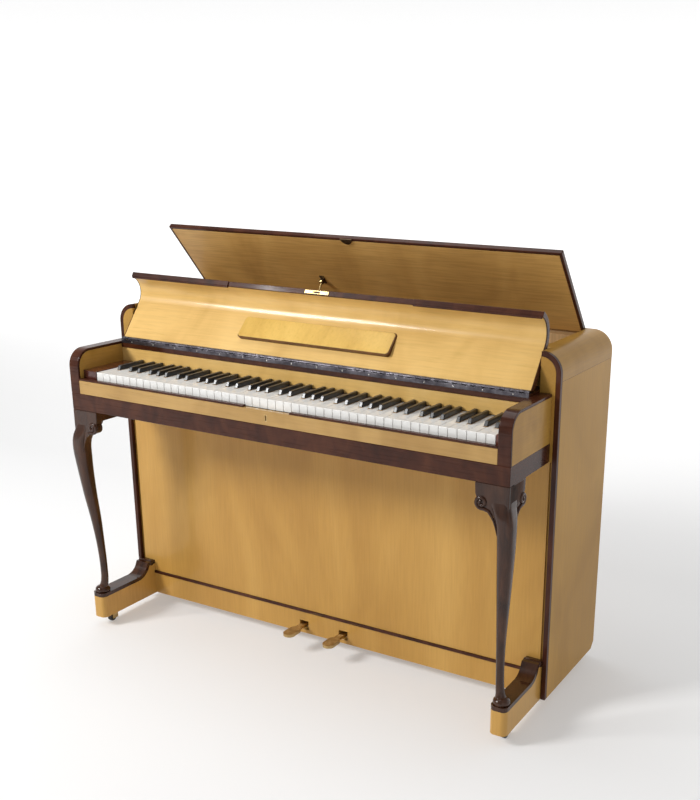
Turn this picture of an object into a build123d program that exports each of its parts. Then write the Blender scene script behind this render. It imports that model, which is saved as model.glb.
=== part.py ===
from build123d import *
import os
from math import atan2, cos, degrees, radians, sin, sqrt

os.makedirs("parts", exist_ok=True)

# Upright piano with an open fallboard and a raised top lid. Millimetres, +Z up.
# X runs along the keyboard, towards the player's right. Y runs from the player to the back.
# The origin is on the floor under the centre of the whole piano.

# ---- Driving dimensions ----
case_depth = 340.0
case_top_rise = 90.0  # hinge rail to the top of the case
arm_reach = 216.0  # from the case front to the front of the arms
knee_overhang = 8.0  # how far the leg knees stand out in front of the arms
side_thickness = 20.0
side_chamfer = 18.0  # at the lower rear corner of each side
shoulder_radius = 50.0
shoulder_seam_drop = 67.0  # from the top to the joint between side and shoulder
shoulder_flat = 19.0  # flat part of the shoulder beside the lid
stile_width = 12.0
stile_thickness = 12.0

arm_gap = 7.0  # side of the arm to the inner edge of the stile
arm_width = 32.0
arm_height = 117.0  # above the keybed
arm_corner_radius = 45.0
arm_cap_thickness = 7.0
keybed_top = 695.0
keybed_thickness = 40.0
band_height = 46.0  # dark moulding round the keybed
band_thickness = 10.0
keybed_overrun = 10.0  # keybed past the ends of the keys
slip_thickness = 14.0
slip_height = 36.0
slip_rim_height = 5.0
finger_recess = 138.0
keyhole_height = 12.0
keyhole_width = 3.4
liner_border = 2.0
liner_thickness = 3.0

white_key_count = 50  # 85 notes, A to A
white_key_pitch = 23.5
left_key_space = 47.0  # left arm to the lowest key
right_key_space = 14.0  # highest key to the right arm
key_gap = 1.0
key_rise = 60.0  # tops of the white keys above the keybed
key_thickness = 25.0
key_front_setback = 19.0  # arm front to key front
key_head_length = 50.0
sharp_width = 10.6
sharp_rise = 12.0
sharp_slope = 6.0
sharp_front_gap = 2.5
key_action_gap = 29.0  # key end to the hammer rail
key_pivot = 10.0  # balance line behind the case front
key_dip = 10.0
rail_clearance = 0.3
key_block_gap = 1.0
key_block_proud = 1.0  # in front of the keys
front_rail_gap = 1.3  # under a key pressed right down
front_rail_half = 20.0
balance_rail_half = 15.0
balance_rail_gap = 1.0  # lets a key tip over the rail
balance_strip_half = 4.0
back_rail_width = 35.0
back_rail_setback = 5.0
sharp_back_gap = 1.5
nameboard_setback = 50.0  # nameboard face in front of the case front
nameboard_thickness = 12.0
nameboard_clearance = 2.0
nameboard_rise = 40.0  # white keys to the underside of the hinge rail
hinge_rail_height = 22.0

fall_thickness = 14.0
fall_side_gap = 0.6
fall_lean_run = 3.0  # the open fall leans back 3 for each 4 up
fall_lean_rise = 4.0
fall_straight = 113.75
fall_curl_radius = 45.0
fall_curl_turn = 98.0
fall_lip = 8.0
fall_recess_width = 562.0
fall_recess_depth = 3.0
fall_side_edging = 2.5
fall_hinge_height = 4.0  # hinge axis above the hinge rail
fall_hinge_setback = 50.0
fall_base_gap = 1.0
fall_face_offset = 6.75  # hinge axis to the face of the fall
fall_rest_gap = 1.0  # open fall to the top rail
barrel_radius = 3.0
pin_radius = 1.5
pin_clearance = 0.05
leaf_thickness = 1.1
fall_leaf_width = 18.0
fall_knuckles = 21
knuckle_gap = 0.5
hinge_end_gap = 2.0
leaf_overlap = 1.0

ledge_width = 462.0
ledge_start = 38.75  # along the face of the fall, from its lower end
ledge_length = 65.0
ledge_foot = 11.0
ledge_head = 2.0
plate_length = 72.0
plate_width = 9.0
plate_thickness = 1.2
plate_slot_length = 20.0
plate_slot_width = 4.0

top_rail_depth = 19.0
top_rail_height = 27.0
upper_panel_thickness = 14.0
lid_ledge_depth = 12.0
lid_thickness = 13.0
lid_side_gap = 1.3
lid_front_gap = 1.0
lid_rest_gap = 0.5
lid_back_gap = 7.0  # lid hinge edge to the back of the case
lid_open_angle = 50.0
lid_edging_width = 8.0
catch_radius = 17.5
catch_thickness = 3.0
catch_clearance = 2.0
lid_barrel_radius = 3.5
lid_barrel_clearance = 0.3
lid_leaf_length = 60.0
lid_leaf_width = 22.0
lid_hinge_spacing = 440.0

stay_side = -145.0
stay_pivot_run = 110.0  # from the lid hinge, along the lid
stay_pivot_drop = 9.0  # below the underside of the lid
stay_length = 116.0
stay_angle = 29.6  # forward lean of the stay from vertical
stay_radius = 2.6
stay_eye_radius = 5.5
stay_eye_width = 5.0
stay_bracket_wall = 2.0
stay_bracket_width = 14.0
stay_foot_gap = 2.8
stay_post_height = 18.0

lower_panel_setback = 8.0
lower_panel_thickness = 14.0
baseboard_height = 65.0
baseboard_thickness = 18.0
base_moulding_height = 8.0
base_moulding_reach = 4.0
bottom_board_thickness = 16.0
bottom_board_gap = 3.0  # to the bottom rail of the back frame

toe_width = 44.0
toe_inset = 13.0  # outer face of the toe inside the side of the case
toe_reach = 205.0
toe_height = 63.0
toe_cap_thickness = 11.0
toe_curve_radius = 50.0
toe_curve_start = 62.0
toe_back_height = 95.0
toe_round = 14.0

leg_block_width = 85.0
leg_block_depth = 88.0
leg_block_height = 37.0
knee_width = 42.0
ankle_width = 20.0
foot_diameter = 42.0
foot_height = 18.0

caster_wheel_radius = 13.0
caster_wheel_width = 12.0
caster_cheek = 2.0
caster_gap = 0.5
caster_top_gap = 0.7
caster_cheek_reach = 5.0
caster_plate_inset = 6.0
caster_trail = 10.0
caster_plate = 3.0
caster_stem_radius = 5.0
caster_stem_length = 30.0
caster_axle_radius = 2.5
caster_setback = 147.0
running_clearance = 0.05

pedal_spacing = 130.0
pedal_reach = 78.0
pedal_pivot = 50.0
pedal_bar_width = 16.0
pedal_pad_width = 34.0
pedal_pad_length = 56.0
pedal_thickness = 8.0
pedal_height = 57.0
pedal_slot_clearance = 6.0
pedal_side_gap = 1.0
pedal_pad_corner = 16.0
pedal_block_half = 9.0
pedal_past_pin = 14.0
pedal_pin_radius = 3.0
pedal_block_width = 16.0

back_post_count = 8
back_post_width = 50.0
back_post_depth = 50.0
back_rail_height = 73.0
back_bottom_rail = 40.0
board_thickness = 9.0
plate_gap = 10.0  # soundboard to iron frame
plate_iron_thickness = 12.0
plate_window_count = 8
plate_rib_width = 31.5
window_bottom_gap = 90.0
window_top_gap = 180.0
iron_side_gap = 10.0
lug_proud = 0.5
pin_block_drop = 37.0  # below the top of the case
rail_drop = 54.0
string_gap = 16.0
string_width = 1.2
string_top_drop = 62.0
string_bottom_rise = 30.0
bridge_height = 12.0
tuning_pin_radius = 3.4
tuning_pin_length = 22.0
tuning_pin_rise = 12.0
tuning_pin_rows = 3
tuning_row_step = 16.0
note_count = 85
hammer_width = 8.0
hammer_height = 18.0
hammer_rise = 12.0  # above the white keys
hammer_reach = 52.0  # shank to the strings
hammer_string_gap = 6.0
hammer_back_half = 4.0
hammer_rail_drop = 20.0  # below the top of the keybed
hammer_rail_height = 20.0
hammer_rail_half = 12.0
shank_half = 2.0
rear_foot_size = 44.0
rear_foot_inset = 6.0

# ---- Places that follow from them ----
keys_width = white_key_count * white_key_pitch
arm_inner = (left_key_space + keys_width + right_key_space) / 2
arm_outer = arm_inner + arm_width
stile_inner = arm_outer + arm_gap
half_width = stile_inner + stile_width
keys_left = left_key_space - arm_inner
keys_right = keys_left + keys_width
side_bottom = 2 * caster_wheel_radius + caster_top_gap + caster_plate + rail_clearance
arm_top = keybed_top + arm_height
white_key_top = keybed_top + key_rise
hinge_rail_bottom = white_key_top + nameboard_rise
hinge_rail_top = hinge_rail_bottom + hinge_rail_height
case_height = hinge_rail_top + case_top_rise
case_front = (arm_reach + knee_overhang - case_depth) / 2
case_back = case_front + case_depth
arm_front = case_front - arm_reach
side_inner = half_width - side_thickness
shoulder_inner = half_width - shoulder_radius - shoulder_flat
shoulder_seam = case_height - shoulder_seam_drop
arc_centre = half_width - shoulder_radius
arc_base = case_height - shoulder_radius
keybed_bottom = keybed_top - keybed_thickness
band_bottom = keybed_top - band_height
fall_half = arm_inner - fall_side_gap
key_bottom = white_key_top - key_thickness
key_front = arm_front + key_front_setback
head_back = key_front + key_head_length
nameboard_front = case_front - nameboard_setback
nameboard_back = nameboard_front + nameboard_thickness
nameboard_bottom = white_key_top + nameboard_clearance
pivot_line = case_front + key_pivot
fall_axis_y = case_front - fall_hinge_setback
fall_axis_z = hinge_rail_top + fall_hinge_height
lean_length = sqrt(fall_lean_run**2 + fall_lean_rise**2)
lean_y = fall_lean_run / lean_length
lean_z = fall_lean_rise / lean_length
fall_base = fall_axis_z + fall_base_gap
face_foot_y = fall_axis_y + fall_face_offset
fall_back_y = face_foot_y + (case_height - fall_base) * lean_y / lean_z + fall_thickness / lean_z
rail_front = fall_back_y + fall_rest_gap
rail_back = rail_front + top_rail_depth
lid_bottom = case_height - lid_thickness
lid_hinge_y = case_back - lid_back_gap
lid_axis_z = case_height + lid_barrel_radius + lid_barrel_clearance
lid_front = rail_back + lid_front_gap
lid_half = shoulder_inner - lid_side_gap
lid_depth = lid_hinge_y - lid_front
toe_outer = half_width - toe_inset
toe_inner = toe_outer - toe_width
toe_centre = (toe_outer + toe_inner) / 2
toe_top = side_bottom + toe_height
panel_front = case_front + lower_panel_setback
panel_back = panel_front + lower_panel_thickness
baseboard_top = side_bottom + baseboard_height
frame_front = case_back - back_post_depth
soundboard_front = frame_front - board_thickness
iron_back = soundboard_front - plate_gap
iron_front = iron_back - plate_iron_thickness
string_y = iron_front - string_gap
shank_y = string_y - hammer_reach
key_end = shank_y - hammer_rail_half - key_action_gap


def block(x_low, x_high, y_low, y_high, z_low, z_high, mode=Mode.ADD):
    """Adds or cuts a box between two corners in the open part."""
    middle = ((x_low + x_high) / 2, (y_low + y_high) / 2, (z_low + z_high) / 2)
    with Locations(middle):
        Box(x_high - x_low, y_high - y_low, z_high - z_low, mode=mode)


def both_sides(x_near, x_far, y_low, y_high, z_low, z_high, mode=Mode.ADD):
    """A box at the right, and the same box mirrored at the left."""
    block(x_near, x_far, y_low, y_high, z_low, z_high, mode)
    block(-x_far, -x_near, y_low, y_high, z_low, z_high, mode)


def rows_of(places, y_low, y_high, z_low, z_high, width):
    """Equal boxes side by side, centred at each of the places along X."""
    middles = [(x, (y_low + y_high) / 2, (z_low + z_high) / 2) for x in places]
    with Locations(*middles):
        Box(width, y_high - y_low, z_high - z_low)


def rod_x(x_low, x_high, y, z, radius, mode=Mode.ADD):
    """A round rod along X."""
    with Locations(Location(((x_low + x_high) / 2, y, z), (0, 90, 0))):
        Cylinder(radius, x_high - x_low, mode=mode)


# ---- Case: sides, shoulders and dark front stiles ----
def side_panel(x_low, x_high):
    """One flat side of the case, with its lower rear corner cut off."""
    low = side_bottom
    front = case_front + stile_thickness
    with BuildPart() as panel:
        with BuildSketch(Plane.YZ.offset(x_low)):
            with BuildLine():
                Polyline(
                    (front, low),
                    (case_back - side_chamfer, low),
                    (case_back, low + side_chamfer),
                    (case_back, shoulder_seam),
                    (front, shoulder_seam),
                    close=True,
                )
            make_face()
        extrude(amount=x_high - x_low)
    return panel


side_panel_left = side_panel(-half_width, -side_inner)
side_panel_left.part.label = "side_panel_left"
export_step(side_panel_left.part, "parts/side_panel_left.step")

side_panel_right = side_panel(side_inner, half_width)
side_panel_right.part.label = "side_panel_right"
export_step(side_panel_right.part, "parts/side_panel_right.step")


def corner_arc(radius):
    """The quarter round of the right shoulder, from its side to its top."""
    lift = radius * sin(radians(45))
    ThreePointArc(
        (arc_centre + radius, arc_base),
        (arc_centre + lift, arc_base + lift),
        (arc_centre, arc_base + radius),
    )


filler_radius = shoulder_radius - stile_width
with BuildPart() as shoulders:
    # Filler between the fall and the stile, seen from the player's side.
    with BuildSketch(Plane.XZ.offset(-case_front)):
        with BuildLine():
            corner_arc(filler_radius)
            Polyline(
                (arc_centre, arc_base + filler_radius),
                (arc_centre, keybed_top),
                (arm_outer, keybed_top),
                (arm_outer, band_bottom),
                (stile_inner, band_bottom),
                (stile_inner, arc_base),
            )
        make_face()
    extrude(amount=-stile_thickness)
    # Shoulder beside the open fall.
    with BuildSketch(Plane.XZ.offset(-case_front - stile_thickness)):
        with BuildLine():
            corner_arc(shoulder_radius)
            Polyline(
                (arc_centre, case_height),
                (arc_centre, arm_top),
                (side_inner, arm_top),
                (side_inner, shoulder_seam),
                (half_width, shoulder_seam),
                (half_width, arc_base),
            )
        make_face()
    extrude(amount=stile_thickness - (rail_back - case_front))
    # Shoulder beside the lid, back to the rear of the case.
    with BuildSketch(Plane.XZ.offset(-rail_back)):
        with BuildLine():
            corner_arc(shoulder_radius)
            Polyline(
                (arc_centre, case_height),
                (shoulder_inner, case_height),
                (shoulder_inner, arc_base),
                (side_inner, shoulder_seam),
                (half_width, shoulder_seam),
                (half_width, arc_base),
            )
        make_face()
    extrude(amount=rail_back - case_back)
    mirror(about=Plane.YZ)
shoulders.part.label = "shoulders"
export_step(shoulders.part, "parts/shoulders.step")

with BuildPart() as front_stiles:
    with BuildSketch(Plane.XZ.offset(-case_front)):
        with BuildLine():
            corner_arc(shoulder_radius)
            Line((arc_centre, case_height), (arc_centre, arc_base + filler_radius))
            corner_arc(filler_radius)
            Polyline(
                (stile_inner, arc_base),
                (stile_inner, side_bottom),
                (half_width, side_bottom),
                (half_width, arc_base),
            )
        make_face()
    extrude(amount=-stile_thickness)
    mirror(about=Plane.YZ)
front_stiles.part.label = "front_stiles"
export_step(front_stiles.part, "parts/front_stiles.step")


# ---- Arms and their wrapped caps ----
def arm_profile(inset):
    """The outline of an arm from above its base, inset under its cap."""
    front = arm_front + inset
    top = arm_top - inset
    radius = arm_corner_radius - inset
    lift = radius * (1 - sin(radians(45)))
    Polyline((case_front, top), (case_front, keybed_top), (front, keybed_top), (front, top - radius))
    ThreePointArc((front, top - radius), (front + lift, top - lift), (front + radius, top))
    Line((front + radius, top), (case_front, top))


with BuildPart() as arms:
    with BuildSketch(Plane.YZ.offset(arm_inner)):
        with BuildLine():
            arm_profile(arm_cap_thickness)
        make_face()
    extrude(amount=arm_width)
    mirror(about=Plane.YZ)
arms.part.label = "arms"
export_step(arms.part, "parts/arms.step")

with BuildPart() as arm_caps:
    with BuildSketch(Plane.YZ.offset(arm_inner)):
        with BuildLine():
            arm_profile(0)
        make_face()
        with BuildLine():
            arm_profile(arm_cap_thickness)
        make_face(mode=Mode.SUBTRACT)
    extrude(amount=arm_width)
    mirror(about=Plane.YZ)
arm_caps.part.label = "arm_caps"
export_step(arm_caps.part, "parts/arm_caps.step")

# ---- Keybed, its dark band, and the slip in front of the keys ----
band_inner = arm_outer - band_thickness
with BuildPart() as keybed:
    block(
        -band_inner, band_inner,
        arm_front + band_thickness, key_end + keybed_overrun,
        keybed_bottom, keybed_top,
    )
keybed.part.label = "keybed"
export_step(keybed.part, "parts/keybed.step")

with BuildPart() as key_slip:
    slip_back = arm_front + slip_thickness
    slip_body_top = keybed_top + slip_height
    block(-arm_inner, arm_inner, arm_front, slip_back, keybed_top, slip_body_top)
    liner_half = keyhole_width / 2 + liner_border
    liner_low = keybed_top + (slip_height - keyhole_height) / 2 - liner_border
    liner_high = liner_low + keyhole_height + 2 * liner_border
    block(
        -liner_half, liner_half,
        arm_front, arm_front + liner_thickness,
        liner_low, liner_high,
        mode=Mode.SUBTRACT,
    )
key_slip.part.label = "key_slip"
export_step(key_slip.part, "parts/key_slip.step")

with BuildPart() as slip_rims:
    rim_top = slip_body_top + slip_rim_height
    both_sides(finger_recess / 2, arm_inner, arm_front, slip_back, slip_body_top, rim_top)
slip_rims.part.label = "slip_rims"
export_step(slip_rims.part, "parts/slip_rims.step")

with BuildPart() as keyhole_liner:
    block(
        -liner_half, liner_half,
        arm_front, arm_front + liner_thickness,
        liner_low, liner_high,
    )
    block(
        -keyhole_width / 2, keyhole_width / 2,
        arm_front, arm_front + liner_thickness,
        liner_low + liner_border, liner_high - liner_border,
        mode=Mode.SUBTRACT,
    )
keyhole_liner.part.label = "keyhole_liner"
export_step(keyhole_liner.part, "parts/keyhole_liner.step")

# ---- Key frame: front, balance and back rails under the keys ----
front_rail_top = key_bottom - key_dip - front_rail_gap
frame_left = keys_left + key_gap
frame_right = keys_right - key_gap
with BuildPart() as key_frame:
    front_rail = head_back - key_head_length / 2
    rail_start = front_rail - front_rail_half
    block(frame_left, frame_right, rail_start, front_rail + front_rail_half, keybed_top, front_rail_top)
    strip_top = key_bottom - rail_clearance
    balance_top = key_bottom - balance_rail_gap
    balance_start = pivot_line - balance_rail_half
    block(frame_left, frame_right, balance_start, pivot_line + balance_rail_half, keybed_top, balance_top)
    strip_start = pivot_line - balance_strip_half
    block(frame_left, frame_right, strip_start, pivot_line + balance_strip_half, balance_top, strip_top)
    rail_end = key_end - back_rail_setback
    block(frame_left, frame_right, rail_end - back_rail_width, rail_end, keybed_top, strip_top)
key_frame.part.label = "key_frame"
export_step(key_frame.part, "parts/key_frame.step")

with BuildPart() as key_blocks:
    block(
        -arm_inner, keys_left - key_block_gap,
        key_front - key_block_proud, nameboard_back,
        keybed_top, nameboard_bottom,
    )
    block(
        keys_right + key_block_gap, arm_inner,
        key_front - key_block_proud, nameboard_back,
        keybed_top, nameboard_bottom,
    )
key_blocks.part.label = "key_blocks"
export_step(key_blocks.part, "parts/key_blocks.step")

# ---- Keys: one node for each note name, A to A ----
# White keys from the lowest A are numbered from 0, and each sharp stands at the joint
# in front of the white key that it is numbered by.
white_names = ["A", "B", "C", "D", "E", "F", "G"]
sharp_shift = {"C": -2.75, "D": 2.75, "F": -3.5, "G": 0.0, "A": 3.5}


def sharp_centre(index):
    """The middle of the sharp above white key index, or None where there is none."""
    name = white_names[index % 7]
    if index < 0 or index + 1 >= white_key_count or name not in sharp_shift:
        return None
    return keys_left + (index + 1) * white_key_pitch + sharp_shift[name]


def white_outline(index):
    """A white key from above, whole at its head and narrowed beside the sharps."""
    left = keys_left + index * white_key_pitch + key_gap / 2
    right = left + white_key_pitch - key_gap
    tail_left = left
    tail_right = right
    if sharp_centre(index - 1) is not None:
        tail_left = sharp_centre(index - 1) + sharp_width / 2 + key_gap
    if sharp_centre(index) is not None:
        tail_right = sharp_centre(index) - sharp_width / 2 - key_gap
    outline = [(left, key_front), (right, key_front)]
    if tail_right != right:
        outline += [(right, head_back), (tail_right, head_back)]
    outline += [(tail_right, key_end), (tail_left, key_end)]
    if tail_left != left:
        outline += [(tail_left, head_back), (left, head_back)]
    Polyline(*outline, close=True)


def sharp_outline():
    """A sharp from the side: its raised top, and the lever that runs back under it."""
    front = head_back + sharp_front_gap
    top = white_key_top + sharp_rise
    top_back = nameboard_front - sharp_back_gap
    Polyline(
        (front, key_bottom),
        (front, white_key_top),
        (front + sharp_slope, top),
        (top_back, top),
        (top_back, white_key_top),
        (key_end, white_key_top),
        (key_end, key_bottom),
        close=True,
    )


for name in white_names:
    with BuildPart() as keys:
        for index in range(white_names.index(name), white_key_count, 7):
            with BuildSketch(Plane.XY.offset(key_bottom)):
                with BuildLine():
                    white_outline(index)
                make_face()
            extrude(amount=key_thickness)
    keys.part.label = f"keys_{name.lower()}"
    export_step(keys.part, f"parts/keys_{name.lower()}.step")

for name in sharp_shift:
    with BuildPart() as keys:
        for index in range(white_names.index(name), white_key_count - 1, 7):
            with BuildSketch(Plane.YZ.offset(sharp_centre(index) - sharp_width / 2)):
                with BuildLine():
                    sharp_outline()
                make_face()
            extrude(amount=sharp_width)
    keys.part.label = f"keys_{name.lower()}_sharp"
    export_step(keys.part, f"parts/keys_{name.lower()}_sharp.step")

# ---- Nameboard and hinge rail behind the keys ----
with BuildPart() as nameboard:
    block(-arm_inner, arm_inner, nameboard_front, nameboard_back, nameboard_bottom, hinge_rail_bottom)
nameboard.part.label = "nameboard"
export_step(nameboard.part, "parts/nameboard.step")

hinge_rail_front = fall_axis_y - barrel_radius
with BuildPart() as hinge_rail:
    block(
        -arm_inner, arm_inner,
        hinge_rail_front, rail_front,
        hinge_rail_bottom, hinge_rail_top,
    )
hinge_rail.part.label = "hinge_rail"
export_step(hinge_rail.part, "parts/hinge_rail.step")

# ---- Fall: a straight panel that leans back and curls forward at its lip ----
curl_y = face_foot_y + lean_y * fall_straight - fall_curl_radius * lean_z
curl_z = fall_base + lean_z * fall_straight + fall_curl_radius * lean_y
curl_from = -degrees(atan2(lean_y, lean_z))
curl_to = curl_from + fall_curl_turn
outer_curl = fall_curl_radius + fall_thickness


def on_curl(radius, angle):
    """A point on the curl of the fall, at a radius and an angle about its centre."""
    return (curl_y + radius * cos(radians(angle)), curl_z + radius * sin(radians(angle)))


def past_lip(point, length):
    """A point moved on along the lip, past the end of the curl."""
    turn = radians(curl_to)
    return (point[0] - length * sin(turn), point[1] + length * cos(turn))


def fall_outline(lip):
    """The closed outline of the fall, with a straight lip of the given length."""
    middle = (curl_from + curl_to) / 2
    inner_end = on_curl(fall_curl_radius, curl_to)
    outer_end = on_curl(outer_curl, curl_to)
    outer_start = on_curl(outer_curl, curl_from)
    outer_foot_y = outer_start[0] - (outer_start[1] - fall_base) * lean_y / lean_z
    Line((face_foot_y, fall_base), on_curl(fall_curl_radius, curl_from))
    ThreePointArc(on_curl(fall_curl_radius, curl_from), on_curl(fall_curl_radius, middle), inner_end)
    if lip > 0:
        Polyline(inner_end, past_lip(inner_end, lip), past_lip(outer_end, lip), outer_end)
    else:
        Line(inner_end, outer_end)
    ThreePointArc(outer_end, on_curl(outer_curl, middle), outer_start)
    Polyline(outer_start, (outer_foot_y, fall_base), (face_foot_y, fall_base))


with BuildPart() as fall_panel:
    panel_half = fall_half - fall_side_edging
    with BuildSketch(Plane.YZ.offset(-panel_half)):
        with BuildLine():
            fall_outline(0)
        make_face()
    extrude(amount=2 * panel_half)
fall_panel.part.label = "fall_panel"
export_step(fall_panel.part, "parts/fall_panel.step")


def lip_outline(length):
    """The section of the dark strip along the lip of the fall."""
    inner_end = on_curl(fall_curl_radius, curl_to)
    outer_end = on_curl(outer_curl, curl_to)
    Polyline(inner_end, past_lip(inner_end, length), past_lip(outer_end, length), outer_end, close=True)


with BuildPart() as fall_edging:
    with BuildSketch(Plane.YZ.offset(panel_half)):
        with BuildLine():
            fall_outline(fall_lip)
        make_face()
    extrude(amount=fall_side_edging)
    with BuildSketch(Plane.YZ.offset(fall_recess_width / 2)):
        with BuildLine():
            lip_outline(fall_lip)
        make_face()
    extrude(amount=panel_half - fall_recess_width / 2)
    with BuildSketch(Plane.YZ):
        with BuildLine():
            lip_outline(fall_lip - fall_recess_depth)
        make_face()
    extrude(amount=fall_recess_width / 2)
    mirror(about=Plane.YZ)
fall_edging.part.label = "fall_edging"
export_step(fall_edging.part, "parts/fall_edging.step")


def on_face(along, out):
    """A point on the player's side of the open fall, from its lower end."""
    y = face_foot_y + along * lean_y - out * lean_z
    z = fall_base + along * lean_z + out * lean_y
    return (y, z)


with BuildPart() as music_ledge:
    with BuildSketch(Plane.YZ.offset(-ledge_width / 2)):
        with BuildLine():
            Polyline(
                on_face(ledge_start, 0),
                on_face(ledge_start, ledge_foot),
                on_face(ledge_start + ledge_length, ledge_head),
                on_face(ledge_start + ledge_length, 0),
                close=True,
            )
        make_face()
    extrude(amount=ledge_width)
music_ledge.part.label = "music_ledge"
export_step(music_ledge.part, "parts/music_ledge.step")

lip_middle = past_lip(on_curl(fall_curl_radius + fall_thickness / 2, curl_to), fall_lip - fall_recess_depth)
lip_plane = Plane(
    origin=(0, lip_middle[0], lip_middle[1]),
    x_dir=(1, 0, 0),
    z_dir=(0, -sin(radians(curl_to)), cos(radians(curl_to))),
)
with BuildPart() as strike_plate:
    with BuildSketch(lip_plane):
        Rectangle(plate_length, plate_width)
        Rectangle(plate_slot_length, plate_slot_width, mode=Mode.SUBTRACT)
    extrude(amount=plate_thickness)
strike_plate.part.label = "strike_plate"
export_step(strike_plate.part, "parts/strike_plate.step")

# ---- Continuous hinge of the fall ----
# Odd knuckles belong to the rail leaf, and even ones to the fall's leaf.
hinge_half = fall_half - hinge_end_gap
knuckle_pitch = 2 * hinge_half / fall_knuckles


def knuckles(first):
    """The barrel pieces of one leaf, every second place from first."""
    for place in range(first, fall_knuckles, 2):
        low = -hinge_half + place * knuckle_pitch + knuckle_gap / 2
        high = low + knuckle_pitch - knuckle_gap
        rod_x(low, high, fall_axis_y, fall_axis_z, barrel_radius)
        yield low, high


lid_hinge_places = [-lid_hinge_spacing, 0, lid_hinge_spacing]
lid_knuckle = lid_leaf_length / 3
with BuildPart() as hinge_fixed_leaves:
    block(
        -hinge_half, hinge_half,
        fall_axis_y - barrel_radius, fall_axis_y + fall_leaf_width,
        hinge_rail_top, hinge_rail_top + leaf_thickness - rail_clearance,
    )
    for low, high in knuckles(0):
        block(
            low, high,
            fall_axis_y - pin_radius, fall_axis_y + pin_radius,
            hinge_rail_top, fall_axis_z - pin_radius,
        )
    rod_x(-hinge_half, hinge_half, fall_axis_y, fall_axis_z, pin_radius)
    # Rear leaves and pins of the lid's three butt hinges.
    for place in lid_hinge_places:
        block(
            place - lid_leaf_length / 2, place + lid_leaf_length / 2,
            lid_hinge_y + lid_barrel_radius + rail_clearance, case_back,
            case_height, case_height + leaf_thickness,
        )
        rod_x(place - lid_knuckle / 2, place + lid_knuckle / 2, lid_hinge_y, lid_axis_z, lid_barrel_radius)
        block(
            place - lid_knuckle / 2, place + lid_knuckle / 2,
            lid_hinge_y + rail_clearance, lid_hinge_y + lid_barrel_radius + 2 * rail_clearance,
            case_height, lid_axis_z - pin_radius,
        )
        rod_x(place - lid_leaf_length / 2, place + lid_leaf_length / 2, lid_hinge_y, lid_axis_z, pin_radius)
hinge_fixed_leaves.part.label = "hinge_fixed_leaves"
export_step(hinge_fixed_leaves.part, "parts/hinge_fixed_leaves.step")

with BuildPart() as fall_hinge_leaf:
    block(
        -hinge_half, hinge_half,
        fall_axis_y + barrel_radius + rail_clearance, fall_axis_y + fall_leaf_width,
        fall_base - leaf_thickness, fall_base,
    )
    for low, high in knuckles(1):
        block(
            low, high,
            fall_axis_y, fall_axis_y + barrel_radius + leaf_overlap,
            fall_base - leaf_thickness, fall_base,
        )
    rod_x(
        -hinge_half, hinge_half,
        fall_axis_y, fall_axis_z,
        pin_radius + pin_clearance,
        mode=Mode.SUBTRACT,
    )
fall_hinge_leaf.part.label = "fall_hinge_leaf"
export_step(fall_hinge_leaf.part, "parts/fall_hinge_leaf.step")

# ---- Upper panel with the top rail that the fall leans on ----
with BuildPart() as upper_panel:
    rail_low = case_height - top_rail_height
    upper_back = rail_front + upper_panel_thickness
    block(-arc_centre, arc_centre, rail_front, upper_back, hinge_rail_top, rail_low)
    block(-arc_centre, arc_centre, rail_front, rail_back, rail_low, case_height)
    ledge_top = lid_bottom - lid_rest_gap
    block(
        -shoulder_inner, shoulder_inner,
        rail_back, rail_back + lid_ledge_depth,
        rail_low, ledge_top,
    )
    # Notch in the ledge for the catch under the lid.
    notch_half = catch_radius + catch_clearance
    block(
        -notch_half, notch_half,
        rail_back, rail_back + lid_ledge_depth,
        ledge_top - catch_thickness - catch_clearance, ledge_top,
        mode=Mode.SUBTRACT,
    )
upper_panel.part.label = "upper_panel"
export_step(upper_panel.part, "parts/upper_panel.step")

# ---- Lid, raised about its rear edge ----
open_turn = radians(lid_open_angle)
lid_plane = Plane(
    origin=(0, lid_hinge_y, lid_axis_z),
    x_dir=(1, 0, 0),
    z_dir=(0, sin(open_turn), cos(open_turn)),
)
lid_top = case_height - lid_axis_z
lid_under = lid_top - lid_thickness


def lid_slab(x_low, x_high, back, front, low, high, mode=Mode.ADD):
    """A box on the lid: back and front are distances forward of its hinge."""
    middle = Vector((x_low + x_high) / 2, -(back + front) / 2, (low + high) / 2)
    with Locations(lid_plane.location * Location(middle)):
        Box(x_high - x_low, front - back, high - low, mode=mode)


lid_core_half = lid_half - lid_edging_width
with BuildPart() as lid_panel:
    lid_slab(-lid_core_half, lid_core_half, 0, lid_depth - lid_edging_width, lid_under, lid_top)
lid_panel.part.label = "lid_panel"
export_step(lid_panel.part, "parts/lid_panel.step")

with BuildPart() as lid_edging:
    lid_slab(-lid_half, lid_half, lid_depth - lid_edging_width, lid_depth, lid_under, lid_top)
    lid_slab(-lid_half, -lid_core_half, 0, lid_depth, lid_under, lid_top)
    lid_slab(lid_core_half, lid_half, 0, lid_depth, lid_under, lid_top)
lid_edging.part.label = "lid_edging"
export_step(lid_edging.part, "parts/lid_edging.step")

with BuildPart() as lid_catch:
    catch_place = lid_plane.location * Location((0, -lid_depth, lid_under))
    with BuildSketch(Plane(catch_place)):
        Circle(catch_radius)
        with Locations((0, -catch_radius)):
            Rectangle(2 * catch_radius, 2 * catch_radius, mode=Mode.SUBTRACT)
    extrude(amount=-catch_thickness)
lid_catch.part.label = "lid_catch"
export_step(lid_catch.part, "parts/lid_catch.step")


def lid_rod(x_low, x_high, along, height, radius, mode=Mode.ADD):
    """A rod along X on the lid, at a distance forward of its hinge."""
    place = Location(((x_low + x_high) / 2, -along, height), (0, 90, 0))
    with Locations(lid_plane.location * place):
        Cylinder(radius, x_high - x_low, mode=mode)


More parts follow.
